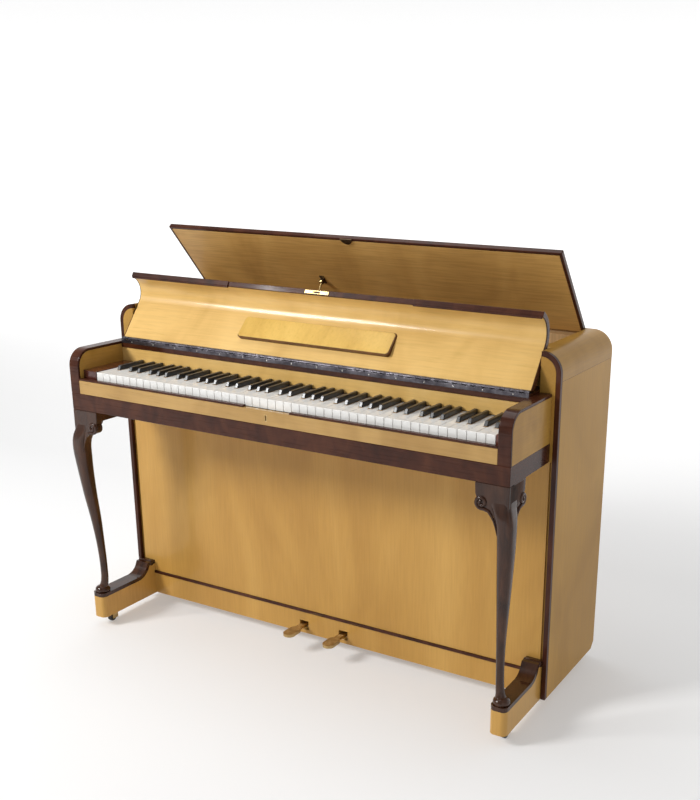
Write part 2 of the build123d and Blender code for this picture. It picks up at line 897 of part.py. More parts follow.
with BuildPart() as lid_hinge_leaves:
    for place in lid_hinge_places:
        leaf_low = place - lid_leaf_length / 2
        leaf_high = place + lid_leaf_length / 2
        middle_low = place - lid_knuckle / 2 - knuckle_gap
        middle_high = place + lid_knuckle / 2 + knuckle_gap
        leaf_start = lid_barrel_radius + rail_clearance
        lid_slab(leaf_low, leaf_high, leaf_start, lid_leaf_width, lid_top, lid_top + leaf_thickness)
        for low, high in ((leaf_low, middle_low), (middle_high, leaf_high)):
            lid_rod(low, high, 0, 0, lid_barrel_radius)
            lid_slab(low, high, leaf_overlap, leaf_start, lid_top, lid_top + leaf_thickness)
            lid_rod(low, high, 0, 0, pin_radius + pin_clearance, mode=Mode.SUBTRACT)
lid_hinge_leaves.part.label = "lid_hinge_leaves"
export_step(lid_hinge_leaves.part, "parts/lid_hinge_leaves.step")

# ---- Lid stay: a rod on a bracket under the lid, whose foot stands on the iron frame ----
pivot_height = lid_under - stay_pivot_drop
pivot_y = lid_hinge_y - stay_pivot_run * cos(open_turn) + pivot_height * sin(open_turn)
pivot_z = lid_axis_z + stay_pivot_run * sin(open_turn) + pivot_height * cos(open_turn)
stay_lean = radians(stay_angle)
foot_y = pivot_y - stay_length * sin(stay_lean)
foot_z = pivot_z - stay_length * cos(stay_lean)
eye_low = stay_side - stay_eye_width / 2
eye_high = stay_side + stay_eye_width / 2

with BuildPart() as lid_stay:
    rod_x(eye_low, eye_high, pivot_y, pivot_z, stay_eye_radius)
    stay_plane = Plane(
        origin=(stay_side, pivot_y, pivot_z),
        x_dir=(1, 0, 0),
        z_dir=(0, -sin(stay_lean), -cos(stay_lean)),
    )
    with BuildSketch(stay_plane.offset(stay_eye_radius - leaf_overlap)):
        Circle(stay_radius)
    extrude(amount=stay_length - stay_eye_radius + leaf_overlap)
    rod_x(eye_low, eye_high, pivot_y, pivot_z, pin_radius + pin_clearance, mode=Mode.SUBTRACT)
lid_stay.part.label = "lid_stay"
export_step(lid_stay.part, "parts/lid_stay.step")

with BuildPart() as stay_bracket:
    base_low = lid_under - stay_bracket_wall
    cheek_low = pivot_height - stay_eye_radius
    lid_slab(
        stay_side - stay_bracket_width / 2, stay_side + stay_bracket_width / 2,
        stay_pivot_run - stay_bracket_width, stay_pivot_run + stay_bracket_width,
        base_low, lid_under,
    )
    for side in (-1, 1):
        inner = stay_side + side * (stay_eye_width / 2 + rail_clearance)
        outer = inner + side * stay_bracket_wall
        lid_slab(
            min(inner, outer), max(inner, outer),
            stay_pivot_run - stay_eye_radius, stay_pivot_run + stay_eye_radius,
            cheek_low, lid_under,
        )
    pin_low = eye_low - stay_bracket_wall
    lid_rod(pin_low, eye_high + stay_bracket_wall, stay_pivot_run, pivot_height, pin_radius)
stay_bracket.part.label = "stay_bracket"
export_step(stay_bracket.part, "parts/stay_bracket.step")

# ---- Lower case: panel, baseboard, mouldings and bottom board ----
with BuildPart() as lower_panel:
    block(
        -side_inner, side_inner,
        panel_front, panel_back,
        baseboard_top + base_moulding_height, band_bottom,
    )
lower_panel.part.label = "lower_panel"
export_step(lower_panel.part, "parts/lower_panel.step")

pedal_places = [-pedal_spacing / 2, pedal_spacing / 2]
with BuildPart() as baseboard:
    board_back = panel_front + baseboard_thickness
    block(-side_inner, side_inner, panel_front, board_back, side_bottom, baseboard_top)
    slot_half = pedal_bar_width / 2 + pedal_slot_clearance
    for place in pedal_places:
        block(
            place - slot_half, place + slot_half,
            panel_front, board_back,
            pedal_height - pedal_thickness / 2 - 2 * pedal_slot_clearance,
            pedal_height + pedal_thickness / 2 + pedal_slot_clearance,
            mode=Mode.SUBTRACT,
        )
baseboard.part.label = "baseboard"
export_step(baseboard.part, "parts/baseboard.step")

with BuildPart() as dark_mouldings:
    # Band round the front and the two sides of the keybed.
    block(-arm_outer, arm_outer, arm_front, arm_front + band_thickness, band_bottom, keybed_top)
    both_sides(band_inner, arm_outer, arm_front + band_thickness, case_front, band_bottom, keybed_top)
    # Strip along the joint of the baseboard and the lower panel.
    block(
        -toe_inner, toe_inner,
        panel_front - base_moulding_reach, panel_back,
        baseboard_top, baseboard_top + base_moulding_height,
    )
dark_mouldings.part.label = "dark_mouldings"
export_step(dark_mouldings.part, "parts/dark_mouldings.step")

with BuildPart() as bottom_board:
    board_top = side_bottom + bottom_board_thickness
    block(-side_inner, side_inner, board_back, iron_back - bottom_board_gap, side_bottom, board_top)
    pedal_line = case_front + pedal_pivot
    for place in pedal_places:
        for side in (-1, 1):
            inner = place + side * (pedal_bar_width / 2 + pedal_side_gap)
            outer = inner + side * pedal_block_width
            block(
                min(inner, outer), max(inner, outer),
                pedal_line - pedal_block_half, pedal_line + pedal_block_half,
                board_top, pedal_height + 2 * pedal_pin_radius,
            )
            rod_x(
                min(inner, outer), max(inner, outer),
                pedal_line, pedal_height,
                pedal_pin_radius + pin_clearance,
                mode=Mode.SUBTRACT,
            )
bottom_board.part.label = "bottom_board"
export_step(bottom_board.part, "parts/bottom_board.step")


# ---- Pedals: a bar with a rounded pad, turning on a cross pin ----
def pedal(place):
    """One pedal, with its pad in front of the baseboard."""
    front = case_front - pedal_reach
    bar_end = pedal_line + pedal_past_pin
    low = pedal_height - pedal_thickness / 2
    with BuildPart() as lever:
        with BuildSketch(Plane.XY.offset(low)):
            with Locations((place, (front + bar_end) / 2 + pedal_pad_length / 4)):
                Rectangle(pedal_bar_width, bar_end - front - pedal_pad_length / 2)
            with Locations((place, front + pedal_pad_length / 2)):
                RectangleRounded(pedal_pad_width, pedal_pad_length, pedal_pad_corner)
        extrude(amount=pedal_thickness)
        pin_half = pedal_bar_width / 2 + pedal_side_gap + pedal_block_width
        rod_x(place - pin_half, place + pin_half, pedal_line, pedal_height, pedal_pin_radius)
    return lever


pedal_left = pedal(pedal_places[0])
pedal_left.part.label = "pedal_left"
export_step(pedal_left.part, "parts/pedal_left.step")

pedal_right = pedal(pedal_places[1])
pedal_right.part.label = "pedal_right"
export_step(pedal_right.part, "parts/pedal_right.step")

# ---- Toe blocks and their curved caps ----
toe_front = case_front - toe_reach
curve_foot = case_front - toe_curve_start
curve_centre = toe_top + toe_curve_radius
curve_top = side_bottom + toe_back_height
curve_drop = curve_centre - curve_top
curve_end = degrees(atan2(sqrt(toe_curve_radius**2 - curve_drop**2), curve_drop))


def on_toe(radius, angle):
    """A point on the hollow of the toe, at an angle past its lowest point."""
    return (curve_foot + radius * sin(radians(angle)), curve_centre - radius * cos(radians(angle)))


def hollow(radius):
    """The hollow curve of the toe's top."""
    ThreePointArc(on_toe(radius, 0), on_toe(radius, curve_end / 2), on_toe(radius, curve_end))


def round_front(node):
    """Rounds the two upright edges at the front of a toe piece."""
    fillet(node.edges().filter_by(Axis.Z).group_by(Axis.Y)[0], radius=toe_round)


caster_line = case_front - caster_setback
with BuildPart() as toe_blocks:
    with BuildSketch(Plane.YZ.offset(toe_inner)):
        with BuildLine():
            hollow(toe_curve_radius)
            Polyline(
                on_toe(toe_curve_radius, curve_end),
                (panel_front, curve_top),
                (panel_front, side_bottom),
                (toe_front, side_bottom),
                (toe_front, toe_top),
                (curve_foot, toe_top),
            )
        make_face()
    extrude(amount=toe_width)
    round_front(toe_blocks)
    with Locations((toe_centre, caster_line, side_bottom + caster_stem_length / 2)):
        Cylinder(caster_stem_radius + running_clearance, caster_stem_length + 1, mode=Mode.SUBTRACT)
    mirror(about=Plane.YZ)
toe_blocks.part.label = "toe_blocks"
export_step(toe_blocks.part, "parts/toe_blocks.step")

with BuildPart() as toe_caps:
    cap_radius = toe_curve_radius - toe_cap_thickness
    cap_top = curve_top + toe_cap_thickness
    with BuildSketch(Plane.YZ.offset(toe_inner)):
        with BuildLine():
            hollow(toe_curve_radius)
            Polyline(
                on_toe(toe_curve_radius, curve_end),
                (panel_front, curve_top),
                (panel_front, cap_top),
                (on_toe(cap_radius, curve_end)[0] + toe_cap_thickness / 3, cap_top),
                on_toe(cap_radius, curve_end),
            )
            hollow(cap_radius)
            Polyline(
                on_toe(cap_radius, 0),
                (toe_front, toe_top + toe_cap_thickness),
                (toe_front, toe_top),
                (curve_foot, toe_top),
            )
        make_face()
    extrude(amount=toe_width)
    round_front(toe_caps)
    mirror(about=Plane.YZ)
toe_caps.part.label = "toe_caps"
export_step(toe_caps.part, "parts/toe_caps.step")

# ---- Cabriole legs under the front corners of the keybed ----
# Each station is a share of the leg's height, the inset of its middle from the side and
# from the front of the arm, and its width.
leg_bottom = toe_top + toe_cap_thickness
leg_height = band_bottom - leg_bottom
knee_setback = knee_width / 2 - knee_overhang
leg_stations = [
    (1 - leg_block_height / leg_height, 32, 32, knee_width * 1.66),
    (0.90, 20, 20, knee_width * 1.29),
    (0.84, 9, knee_setback, knee_width),
    (0.67, 10, knee_setback + 2, knee_width * 0.86),
    (0.54, 14, knee_setback + 8, knee_width * 0.72),
    (0.415, 19, 28, ankle_width * 1.25),
    (0.285, 23, 33, ankle_width * 1.1),
    (0.175, 24, 36, ankle_width),
    (0.085, 23, 37, ankle_width),
    (foot_height / leg_height, 18, 33, ankle_width * 1.2),
]


def cabriole_leg(side):
    """A leg at the left (-1) or right (1), from its corner block to its round foot."""
    with BuildPart() as leg:
        near = side * arm_outer
        far = side * (arm_outer - leg_block_width)
        block(
            min(near, far), max(near, far),
            arm_front, arm_front + leg_block_depth,
            band_bottom - leg_block_height, band_bottom,
        )
        for share, inset, setback, width in leg_stations:
            with BuildSketch(Plane.XY.offset(leg_bottom + share * leg_height)):
                with Locations((side * (arm_outer - inset), arm_front + setback)):
                    Rectangle(width, width)
        loft(ruled=True)
        with Locations((side * toe_centre, toe_front + foot_diameter / 2, leg_bottom + foot_height / 2)):
            Cylinder(foot_diameter / 2, foot_height)
    return leg


leg_left = cabriole_leg(-1)
leg_left.part.label = "leg_left"
export_step(leg_left.part, "parts/leg_left.step")

leg_right = cabriole_leg(1)
leg_right.part.label = "leg_right"
export_step(leg_right.part, "parts/leg_right.step")

# ---- Casters under the toes ----
axle_y = caster_line - caster_trail
plate_top = side_bottom - rail_clearance
plate_low = plate_top - caster_plate


def caster_fork(middle):
    """A swivel fork: plate, stem, two cheeks and the axle between them."""
    cheek_inner = caster_wheel_width / 2 + caster_gap
    cheek_outer = cheek_inner + caster_cheek
    with BuildPart() as fork:
        with BuildSketch(Plane.XY.offset(plate_low)):
            with Locations((middle, caster_line)):
                Circle(toe_width / 2 - caster_plate_inset)
        extrude(amount=caster_plate)
        with BuildSketch(Plane.XY.offset(plate_top)):
            with Locations((middle, caster_line)):
                Circle(caster_stem_radius)
        extrude(amount=caster_stem_length - 1)
        for side in (-1, 1):
            near = middle + side * cheek_inner
            far = middle + side * cheek_outer
            block(
                min(near, far), max(near, far),
                axle_y - caster_cheek_reach, caster_line + caster_cheek_reach,
                caster_wheel_radius - caster_cheek_reach, plate_low,
            )
        rod_x(middle - cheek_outer, middle + cheek_outer, axle_y, caster_wheel_radius, caster_axle_radius)
    return fork


def caster_wheel(middle):
    """A solid wheel bored for its axle."""
    half = caster_wheel_width / 2
    with BuildPart() as wheel:
        rod_x(middle - half, middle + half, axle_y, caster_wheel_radius, caster_wheel_radius)
        rod_x(
            middle - half, middle + half,
            axle_y, caster_wheel_radius,
            caster_axle_radius + running_clearance,
            mode=Mode.SUBTRACT,
        )
    return wheel


caster_left = caster_fork(-toe_centre)
caster_left.part.label = "caster_left"
export_step(caster_left.part, "parts/caster_left.step")

caster_right = caster_fork(toe_centre)
caster_right.part.label = "caster_right"
export_step(caster_right.part, "parts/caster_right.step")

caster_wheel_left = caster_wheel(-toe_centre)
caster_wheel_left.part.label = "caster_wheel_left"
export_step(caster_wheel_left.part, "parts/caster_wheel_left.step")

caster_wheel_right = caster_wheel(toe_centre)
caster_wheel_right.part.label = "caster_wheel_right"
export_step(caster_wheel_right.part, "parts/caster_wheel_right.step")

# ---- Back frame with its pin block, soundboard and iron frame ----
pin_block_top = case_height - pin_block_drop
rail_bottom = case_height - back_rail_height - rail_drop
frame_low = side_bottom + back_bottom_rail
with BuildPart() as back_frame:
    block(-side_inner, side_inner, iron_back, case_back, side_bottom, frame_low)
    post_step = (2 * side_inner - back_post_width) / (back_post_count - 1)
    for place in range(back_post_count):
        left = -side_inner + place * post_step
        block(left, left + back_post_width, frame_front, case_back, frame_low, rail_bottom)
    block(-side_inner, side_inner, frame_front, case_back, rail_bottom, shoulder_seam)
    block(-shoulder_inner, shoulder_inner, frame_front, case_back, shoulder_seam, ledge_top)
    block(-shoulder_inner, shoulder_inner, iron_back, frame_front, rail_bottom, pin_block_top)
    block(
        -shoulder_inner, shoulder_inner,
        lid_hinge_y + rail_clearance, case_back,
        ledge_top, case_height,
    )
back_frame.part.label = "back_frame"
export_step(back_frame.part, "parts/back_frame.step")

with BuildPart() as soundboard:
    block(-side_inner, side_inner, soundboard_front, frame_front, frame_low, rail_bottom)
soundboard.part.label = "soundboard"
export_step(soundboard.part, "parts/soundboard.step")

iron_half = shoulder_inner - iron_side_gap
with BuildPart() as iron_plate:
    block(-iron_half, iron_half, iron_front, iron_back, side_bottom + bottom_board_thickness, pin_block_top)
    window_step = 2 * iron_half / plate_window_count
    for place in range(plate_window_count):
        left = -iron_half + place * window_step + plate_rib_width / 2
        block(
            left, left + window_step - plate_rib_width,
            iron_front, iron_back,
            frame_low + window_bottom_gap, rail_bottom - window_top_gap,
            mode=Mode.SUBTRACT,
        )
    # Lug that the foot of the lid stay stands on.
    block(
        stay_side - stay_bracket_width / 2, stay_side + stay_bracket_width / 2,
        foot_y - stay_radius - lug_proud, iron_front,
        foot_z - stay_foot_gap - stay_post_height, foot_z - stay_foot_gap,
    )
iron_plate.part.label = "iron_plate"
export_step(iron_plate.part, "parts/iron_plate.step")

# ---- Strings, tuning pins and hammers, one for each note ----
note_pitch = (keys_right - keys_left) / note_count
string_top = pin_block_top - string_top_drop
string_bottom = frame_low + string_bottom_rise

note_places = [keys_left + (note + 0.5) * note_pitch for note in range(note_count)]

with BuildPart() as strings:
    string_front = string_y - string_width / 2
    rows_of(note_places, string_front, string_front + string_width, string_bottom, string_top, string_width)
    # Bridge rails that the strings run over, at their two ends.
    for low in (string_bottom, string_top - bridge_height):
        block(
            keys_left, keys_right,
            string_y + string_width / 2, iron_front,
            low, low + bridge_height,
        )
strings.part.label = "strings"
export_step(strings.part, "parts/strings.step")

with BuildPart() as tuning_pins:
    first_row = string_top + tuning_pin_rise
    pin_places = [
        (x, first_row + tuning_row_step * (note % tuning_pin_rows)) for note, x in enumerate(note_places)
    ]
    with BuildSketch(Plane.XZ.offset(-iron_front)):
        with Locations(*pin_places):
            RegularPolygon(tuning_pin_radius, 6)
    extrude(amount=tuning_pin_length)
tuning_pins.part.label = "tuning_pins"
export_step(tuning_pins.part, "parts/tuning_pins.step")

with BuildPart() as hammers:
    rail_z = keybed_top - hammer_rail_drop
    shank_foot = rail_z + hammer_rail_height
    head_z = white_key_top + hammer_rise
    block(
        -side_inner, side_inner,
        shank_y - hammer_rail_half, shank_y + hammer_rail_half,
        rail_z, shank_foot,
    )
    rows_of(note_places, shank_y - shank_half, shank_y + shank_half, shank_foot, head_z, 2 * shank_half)
    head_front = shank_y - hammer_back_half
    head_tip = string_y - hammer_string_gap
    rows_of(note_places, head_front, head_tip, head_z, head_z + hammer_height, hammer_width)
hammers.part.label = "hammers"
export_step(hammers.part, "parts/hammers.step")

# ---- Rear feet ----
with BuildPart() as rear_feet:
    both_sides(
        shoulder_inner - rear_foot_size, shoulder_inner,
        case_back - rear_foot_inset - rear_foot_size, case_back - rear_foot_inset,
        0, side_bottom,
    )
rear_feet.part.label = "rear_feet"
export_step(rear_feet.part, "parts/rear_feet.step")
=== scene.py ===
import bmesh
import bpy
from math import atan2, cos, exp, pi, radians, sin
from mathutils import Matrix, Vector


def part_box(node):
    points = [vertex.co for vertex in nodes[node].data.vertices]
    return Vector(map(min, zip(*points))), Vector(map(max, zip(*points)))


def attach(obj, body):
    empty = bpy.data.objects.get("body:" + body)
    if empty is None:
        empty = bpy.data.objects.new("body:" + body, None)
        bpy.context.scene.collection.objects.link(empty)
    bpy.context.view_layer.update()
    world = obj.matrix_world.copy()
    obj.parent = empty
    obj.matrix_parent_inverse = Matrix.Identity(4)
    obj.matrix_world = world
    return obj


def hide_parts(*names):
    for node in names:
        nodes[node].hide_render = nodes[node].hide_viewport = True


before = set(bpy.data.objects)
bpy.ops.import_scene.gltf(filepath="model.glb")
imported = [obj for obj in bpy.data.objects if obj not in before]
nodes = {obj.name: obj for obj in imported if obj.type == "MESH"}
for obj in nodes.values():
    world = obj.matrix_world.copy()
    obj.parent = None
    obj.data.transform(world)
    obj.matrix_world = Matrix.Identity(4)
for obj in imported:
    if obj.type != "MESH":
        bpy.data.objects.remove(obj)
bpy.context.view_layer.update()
mm = 0.001

# Camera: stands in front and to the right of the piano, a little above its lid.
camera = {
    "place": (1.5358, -2.2487, 1.3753),
    "right": (0.87706, 0.48020, 0.01316),
    "forward": (-0.45374, 0.83709, -0.30561),
    "lens": 47.65,
    "sensor": 36,
    "shift": (-0.1057, 0.0899),
}


def addCamera():
    forward = Vector(camera["forward"]).normalized()
    right = Vector(camera["right"])
    right = (right - forward * right.dot(forward)).normalized()
    up = right.cross(forward)
    turn = Matrix((right, up, -forward)).transposed().to_4x4()
    data = bpy.data.cameras.new("camera")
    data.lens = camera["lens"]
    data.sensor_width = camera["sensor"]
    data.shift_x, data.shift_y = camera["shift"]
    body = bpy.data.objects.new("camera", data)
    body.matrix_world = Matrix.Translation(camera["place"]) @ turn
    bpy.context.scene.collection.objects.link(body)
    bpy.context.scene.camera = body


addCamera()
print("camera placed")

# Studio: a soft key light at the front left, a weak fill at the right and a light overhead, in a
# round bowl whose floor and rear wall glow. Glow goes by share of depth, shade by share of height.
studio = {
    "key": {"place": (-2.7, -3.2, 3.2), "size": 1.3, "power": 185},
    "fill": {"place": (3.6, -3.2, 2.0), "size": 3.0, "power": 10},
    "top": {"place": (-0.6, 0.2, 3.8), "size": 2.4, "power": 40},
    "aim": (0, 0, 0.5),
    "worldLight": 0.34,
    "glow": ((0.10, 0.24), (0.38, 0.29), (0.55, 0.29), (0.75, 0.80)),
    "shade": ((0.0, 0.62), (0.10, 0.50), (0.45, 0.06)),
    "floorRoughness": 0.95,
    "floorMiddle": 0.2,
    "floorRadius": 9,
    "bendRadius": 2.5,
    "bendSteps": 12,
    "wallHeight": 8,
    "wallSides": 96,
}


def addLight(name, setting):
    data = bpy.data.lights.new(name, "AREA")
    data.size = setting["size"]
    data.energy = setting["power"]
    lamp = bpy.data.objects.new(name, data)
    lamp.location = setting["place"]
    aim = Vector(studio["aim"]) - Vector(setting["place"])
    lamp.rotation_euler = aim.to_track_quat("-Z", "Y").to_euler()
    bpy.context.scene.collection.objects.link(lamp)


for lampName in ("key", "fill", "top"):
    addLight(lampName, studio[lampName])

world = bpy.data.worlds.new("studio")
bpy.context.scene.world = world
world.use_nodes = True
sky = world.node_tree.nodes["Background"]
sky.inputs["Color"].default_value = (1, 1, 1, 1)
sky.inputs["Strength"].default_value = studio["worldLight"]
bpy.context.scene.view_settings.view_transform = "Standard"
print("studio lit")


# Materials: each starts from a new shader, and is coloured by noise in the piano's own space.
lacquer = {
    "streakDetail": 5, "streakBend": 0.4, "cloudDetail": 3, "cloudBend": 0.9,
    "cloudStops": (0.24, 0.50, 0.78),
    "streakStops": ((0.34, (0.72, 0.70, 0.66)), (0.60, (1, 1, 1))),
    "coatRoughness": 0.08, "smoother": 0.05, "rougher": 0.08, "bump": 0.06, "bumpDepth": 0.0004,
}


def newMaterial(name, roughness, metallic=0.0, coat=0.0):
    material = bpy.data.materials.new(name)
    material.use_nodes = True
    shader = material.node_tree.nodes["Principled BSDF"]
    shader.inputs["Roughness"].default_value = roughness
    shader.inputs["Metallic"].default_value = metallic
    shader.inputs["Coat Weight"].default_value = coat
    shader.inputs["Coat Roughness"].default_value = lacquer["coatRoughness"]
    return material, material.node_tree, shader


def noiseAt(tree, scale, stretch=(1, 1, 1), detail=5.0, distortion=0.0):
    place = tree.nodes.new("ShaderNodeTexCoord")
    mapping = tree.nodes.new("ShaderNodeMapping")
    mapping.inputs["Scale"].default_value = stretch
    noise = tree.nodes.new("ShaderNodeTexNoise")
    noise.inputs["Scale"].default_value = scale
    noise.inputs["Detail"].default_value = detail
    noise.inputs["Distortion"].default_value = distortion
    tree.links.new(place.outputs["Object"], mapping.inputs["Vector"])
    tree.links.new(mapping.outputs["Vector"], noise.inputs["Vector"])
    return noise.outputs["Fac"]


def ramp(tree, value, stops):
    node = tree.nodes.new("ShaderNodeValToRGB")
    steps = node.color_ramp.elements
    while len(steps) < len(stops):
        steps.new(0.5)
    for step, (place, color) in zip(steps, stops):
        step.position = place
        step.color = (*color, 1)
    tree.links.new(value, node.inputs["Fac"])
    return node.outputs["Color"]


def multiply(tree, share, a, b):
    node = tree.nodes.new("ShaderNodeMix")
    node.data_type = "RGBA"
    node.blend_type = "MULTIPLY"
    node.inputs["Factor"].default_value = share
    tree.links.new(a, node.inputs["A"])
    tree.links.new(b, node.inputs["B"])
    return node.outputs["Result"]


def addBump(tree, shader, value, strength, distance):
    bump = tree.nodes.new("ShaderNodeBump")
    bump.inputs["Strength"].default_value = strength
    bump.inputs["Distance"].default_value = distance
    tree.links.new(value, bump.inputs["Height"])
    tree.links.new(bump.outputs["Normal"], shader.inputs["Normal"])


def spread(tree, shader, value, low, high):
    node = tree.nodes.new("ShaderNodeMapRange")
    node.inputs["To Min"].default_value = low
    node.inputs["To Max"].default_value = high
    tree.links.new(value, node.inputs["Value"])
    tree.links.new(node.outputs["Result"], shader.inputs["Roughness"])


grainStretch = {"x": (0.05, 1, 1), "y": (1, 0.05, 1), "z": (1, 1, 0.05)}
figureStretch = {"x": (1, 0.3, 0.6), "y": (0.3, 1, 0.6), "z": (1, 0.5, 0.35)}


# Lacquered wood: fine streaks along the grain, over a cloudy figure across it. Its numbers are
# coat, roughness, strength of the streaks, scale of the streaks, scale of the clouds and gloss.
def wood(name, tones, grain, coat, roughness, figure, streak, cloud, specular=0.22):
    material, tree, shader = newMaterial(name, roughness, coat=coat)
    shader.inputs["Specular IOR Level"].default_value = specular
    streaks = noiseAt(
        tree, streak, grainStretch[grain], lacquer["streakDetail"], lacquer["streakBend"])
    clouds = noiseAt(
        tree, cloud, figureStretch[grain], lacquer["cloudDetail"], lacquer["cloudBend"])
    base = ramp(tree, clouds, list(zip(lacquer["cloudStops"], reversed(tones))))
    fine = ramp(tree, streaks, lacquer["streakStops"])
    color = multiply(tree, figure, base, fine)
    tree.links.new(color, shader.inputs["Base Color"])
    low, high = roughness - lacquer["smoother"], roughness + lacquer["rougher"]
    spread(tree, shader, streaks, low, high)
    addBump(tree, shader, streaks, lacquer["bump"], lacquer["bumpDepth"])
    return material


# Tones of each wood, from light to dark.
mapleTones = ((0.790, 0.520, 0.185), (0.710, 0.450, 0.145), (0.590, 0.355, 0.098))
# Slip tones: the fall's maple darkened to paint the shade on the key slip, which faces away from
# the light above.
shadedSlipTones = ((0.520, 0.320, 0.110), (0.450, 0.270, 0.088), (0.360, 0.205, 0.062))
# Side tones: maple darkened to paint the shade that lies on the case sides, shoulders and arms.
shadedSideTones = ((0.520, 0.290, 0.070), (0.430, 0.235, 0.050), (0.340, 0.175, 0.034))
amberTones = ((0.600, 0.345, 0.090), (0.500, 0.272, 0.062), (0.390, 0.198, 0.040))
ledgeTones = ((0.780, 0.520, 0.140), (0.700, 0.450, 0.110), (0.570, 0.340, 0.072))
rimTones = ((0.180, 0.080, 0.026), (0.130, 0.055, 0.018), (0.085, 0.034, 0.012))
underTones = ((0.640, 0.390, 0.130), (0.560, 0.325, 0.098), (0.440, 0.245, 0.070))
trimTones = ((0.088, 0.028, 0.012), (0.054, 0.015, 0.007), (0.028, 0.008, 0.004))
mahoganyTones = ((0.085, 0.032, 0.014), (0.046, 0.017, 0.008), (0.020, 0.008, 0.005))
blockTones = ((0.150, 0.040, 0.022), (0.105, 0.026, 0.016), (0.065, 0.016, 0.011))
spruceTones = ((0.560, 0.380, 0.200), (0.480, 0.310, 0.150), (0.380, 0.230, 0.105))

mapleAcross = wood("mapleAcross", mapleTones, "x", 0.25, 0.28, 0.28, 220, 6)
# Maple for the side panels, with painted shade from the side tones.
shadedMapleUp = wood("shadedMapleUp", shadedSideTones, "z", 0.05, 0.34, 0.32, 220, 6, 0.10)
mapleAmber = wood("mapleAmber", amberTones, "z", 0.2, 0.32, 0.26, 200, 4)
# Maple for the shoulders and arms, with painted shade from the side tones.
shadedMapleBack = wood("shadedMapleBack", shadedSideTones, "y", 0.08, 0.32, 0.3, 220, 8, 0.12)
mapleUnder = wood("mapleUnder", underTones, "x", 0.15, 0.42, 0.6, 200, 6)
# Maple for the key slip, with painted shade from the slip tones.
shadedMapleSlip = wood("shadedMapleSlip", shadedSlipTones, "x", 0.25, 0.28, 0.28, 220, 6)
ledgeMaple = wood("ledgeMaple", ledgeTones, "z", 0.25, 0.28, 0.2, 160, 14)
ledgeRim = wood("ledgeRim", rimTones, "x", 0.2, 0.35, 0.4, 200, 20, 0.1)
darkTrim = wood("darkTrim", trimTones, "x", 0.3, 0.27, 0.6, 240, 20, 0.08)
darkTrimUp = wood("darkTrimUp", trimTones, "z", 0.25, 0.3, 0.6, 240, 20, 0.08)
mahogany = wood("mahogany", mahoganyTones, "z", 0.5, 0.2, 0.7, 260, 24, 0.15)
footWood = wood("footWood", mahoganyTones, "x", 0.1, 0.5, 0.6, 200, 20)
keyBlockWood = wood("keyBlockWood", blockTones, "y", 0.8, 0.22, 0.6, 260, 24)
spruce = wood("spruce", spruceTones, "z", 0.0, 0.55, 0.7, 180, 4)


# Cast, moulded or pressed surface with slight mottling.
mottle = {"stops": (0.35, 0.68), "smoother": 0.85, "rougher": 1.2}


def mottled(name, light, dark, roughness, scale, metallic=0.0, coat=0.0, bump=0.05, depth=0.0003):
    material, tree, shader = newMaterial(name, roughness, metallic, coat)
    cloud = noiseAt(tree, scale)
    color = ramp(tree, cloud, list(zip(mottle["stops"], (dark, light))))
    tree.links.new(color, shader.inputs["Base Color"])
    low, high = roughness * mottle["smoother"], min(1.0, roughness * mottle["rougher"])
    spread(tree, shader, cloud, low, high)
    addBump(tree, shader, cloud, bump, depth)
    return material


ivory = mottled("ivory", (0.86, 0.855, 0.83), (0.80, 0.79, 0.76), 0.18, 30, coat=0.4)
ebony = mottled("ebony", (0.020, 0.020, 0.022), (0.011, 0.011, 0.012), 0.30, 60, coat=0.15)
brass = mottled("brass", (0.56, 0.41, 0.19), (0.38, 0.26, 0.11), 0.30, 70, 1.0)
nickel = mottled("nickel", (0.70, 0.68, 0.64), (0.50, 0.48, 0.45), 0.28, 90, 1.0)
agedNickel = mottled("agedNickel", (0.17, 0.16, 0.18), (0.055, 0.050, 0.060), 0.3, 40, 0.85)
darkBronze = mottled("darkBronze", (0.13, 0.085, 0.045), (0.06, 0.04, 0.022), 0.35, 80, 0.9)
goldIron = mottled(
    "goldIron", (0.50, 0.36, 0.13), (0.36, 0.25, 0.085), 0.42, 240, 0.7, 0.2, 0.35, 0.0006)
wireSteel = mottled("wireSteel", (0.62, 0.62, 0.63), (0.40, 0.40, 0.41), 0.30, 120, 1.0)
copperWire = mottled("copperWire", (0.62, 0.30, 0.16), (0.42, 0.19, 0.10), 0.34, 120, 1.0)
felt = mottled(
    "felt", (0.66, 0.64, 0.58), (0.50, 0.48, 0.43), 0.95, 420, bump=0.6, depth=0.0008)
rubber = mottled("rubber", (0.035, 0.034, 0.033), (0.018, 0.018, 0.018), 0.55, 160, bump=0.2)


# The floor's own light grows towards the rear, and its wall darkens upwards.
def floorFinish():
    roughness = studio["floorRoughness"]
    material, tree, shader = newMaterial("floor", roughness)
    spread(tree, shader, noiseAt(tree, 2), roughness * mottle["smoother"], 1.0)
    shader.inputs["Emission Color"].default_value = (1, 1, 1, 1)
    place = tree.nodes.new("ShaderNodeTexCoord")
    axes = tree.nodes.new("ShaderNodeSeparateXYZ")
    tree.links.new(place.outputs["Object"], axes.inputs["Vector"])
    reach = studio["floorRadius"]
    for axis, low, high, stops, socket in (
        ("Y", -reach, reach, studio["glow"], "Emission Strength"),
        ("Z", 0, studio["wallHeight"], studio["shade"], "Base Color"),
    ):
        share = tree.nodes.new("ShaderNodeMapRange")
        share.inputs["From Min"].default_value = low
        share.inputs["From Max"].default_value = high
        tree.links.new(axes.outputs[axis], share.inputs["Value"])
        grey = ramp(tree, share.outputs["Result"], [(at, (v, v, v)) for at, v in stops])
        tree.links.new(grey, shader.inputs[socket])
    return material


print("materials made")

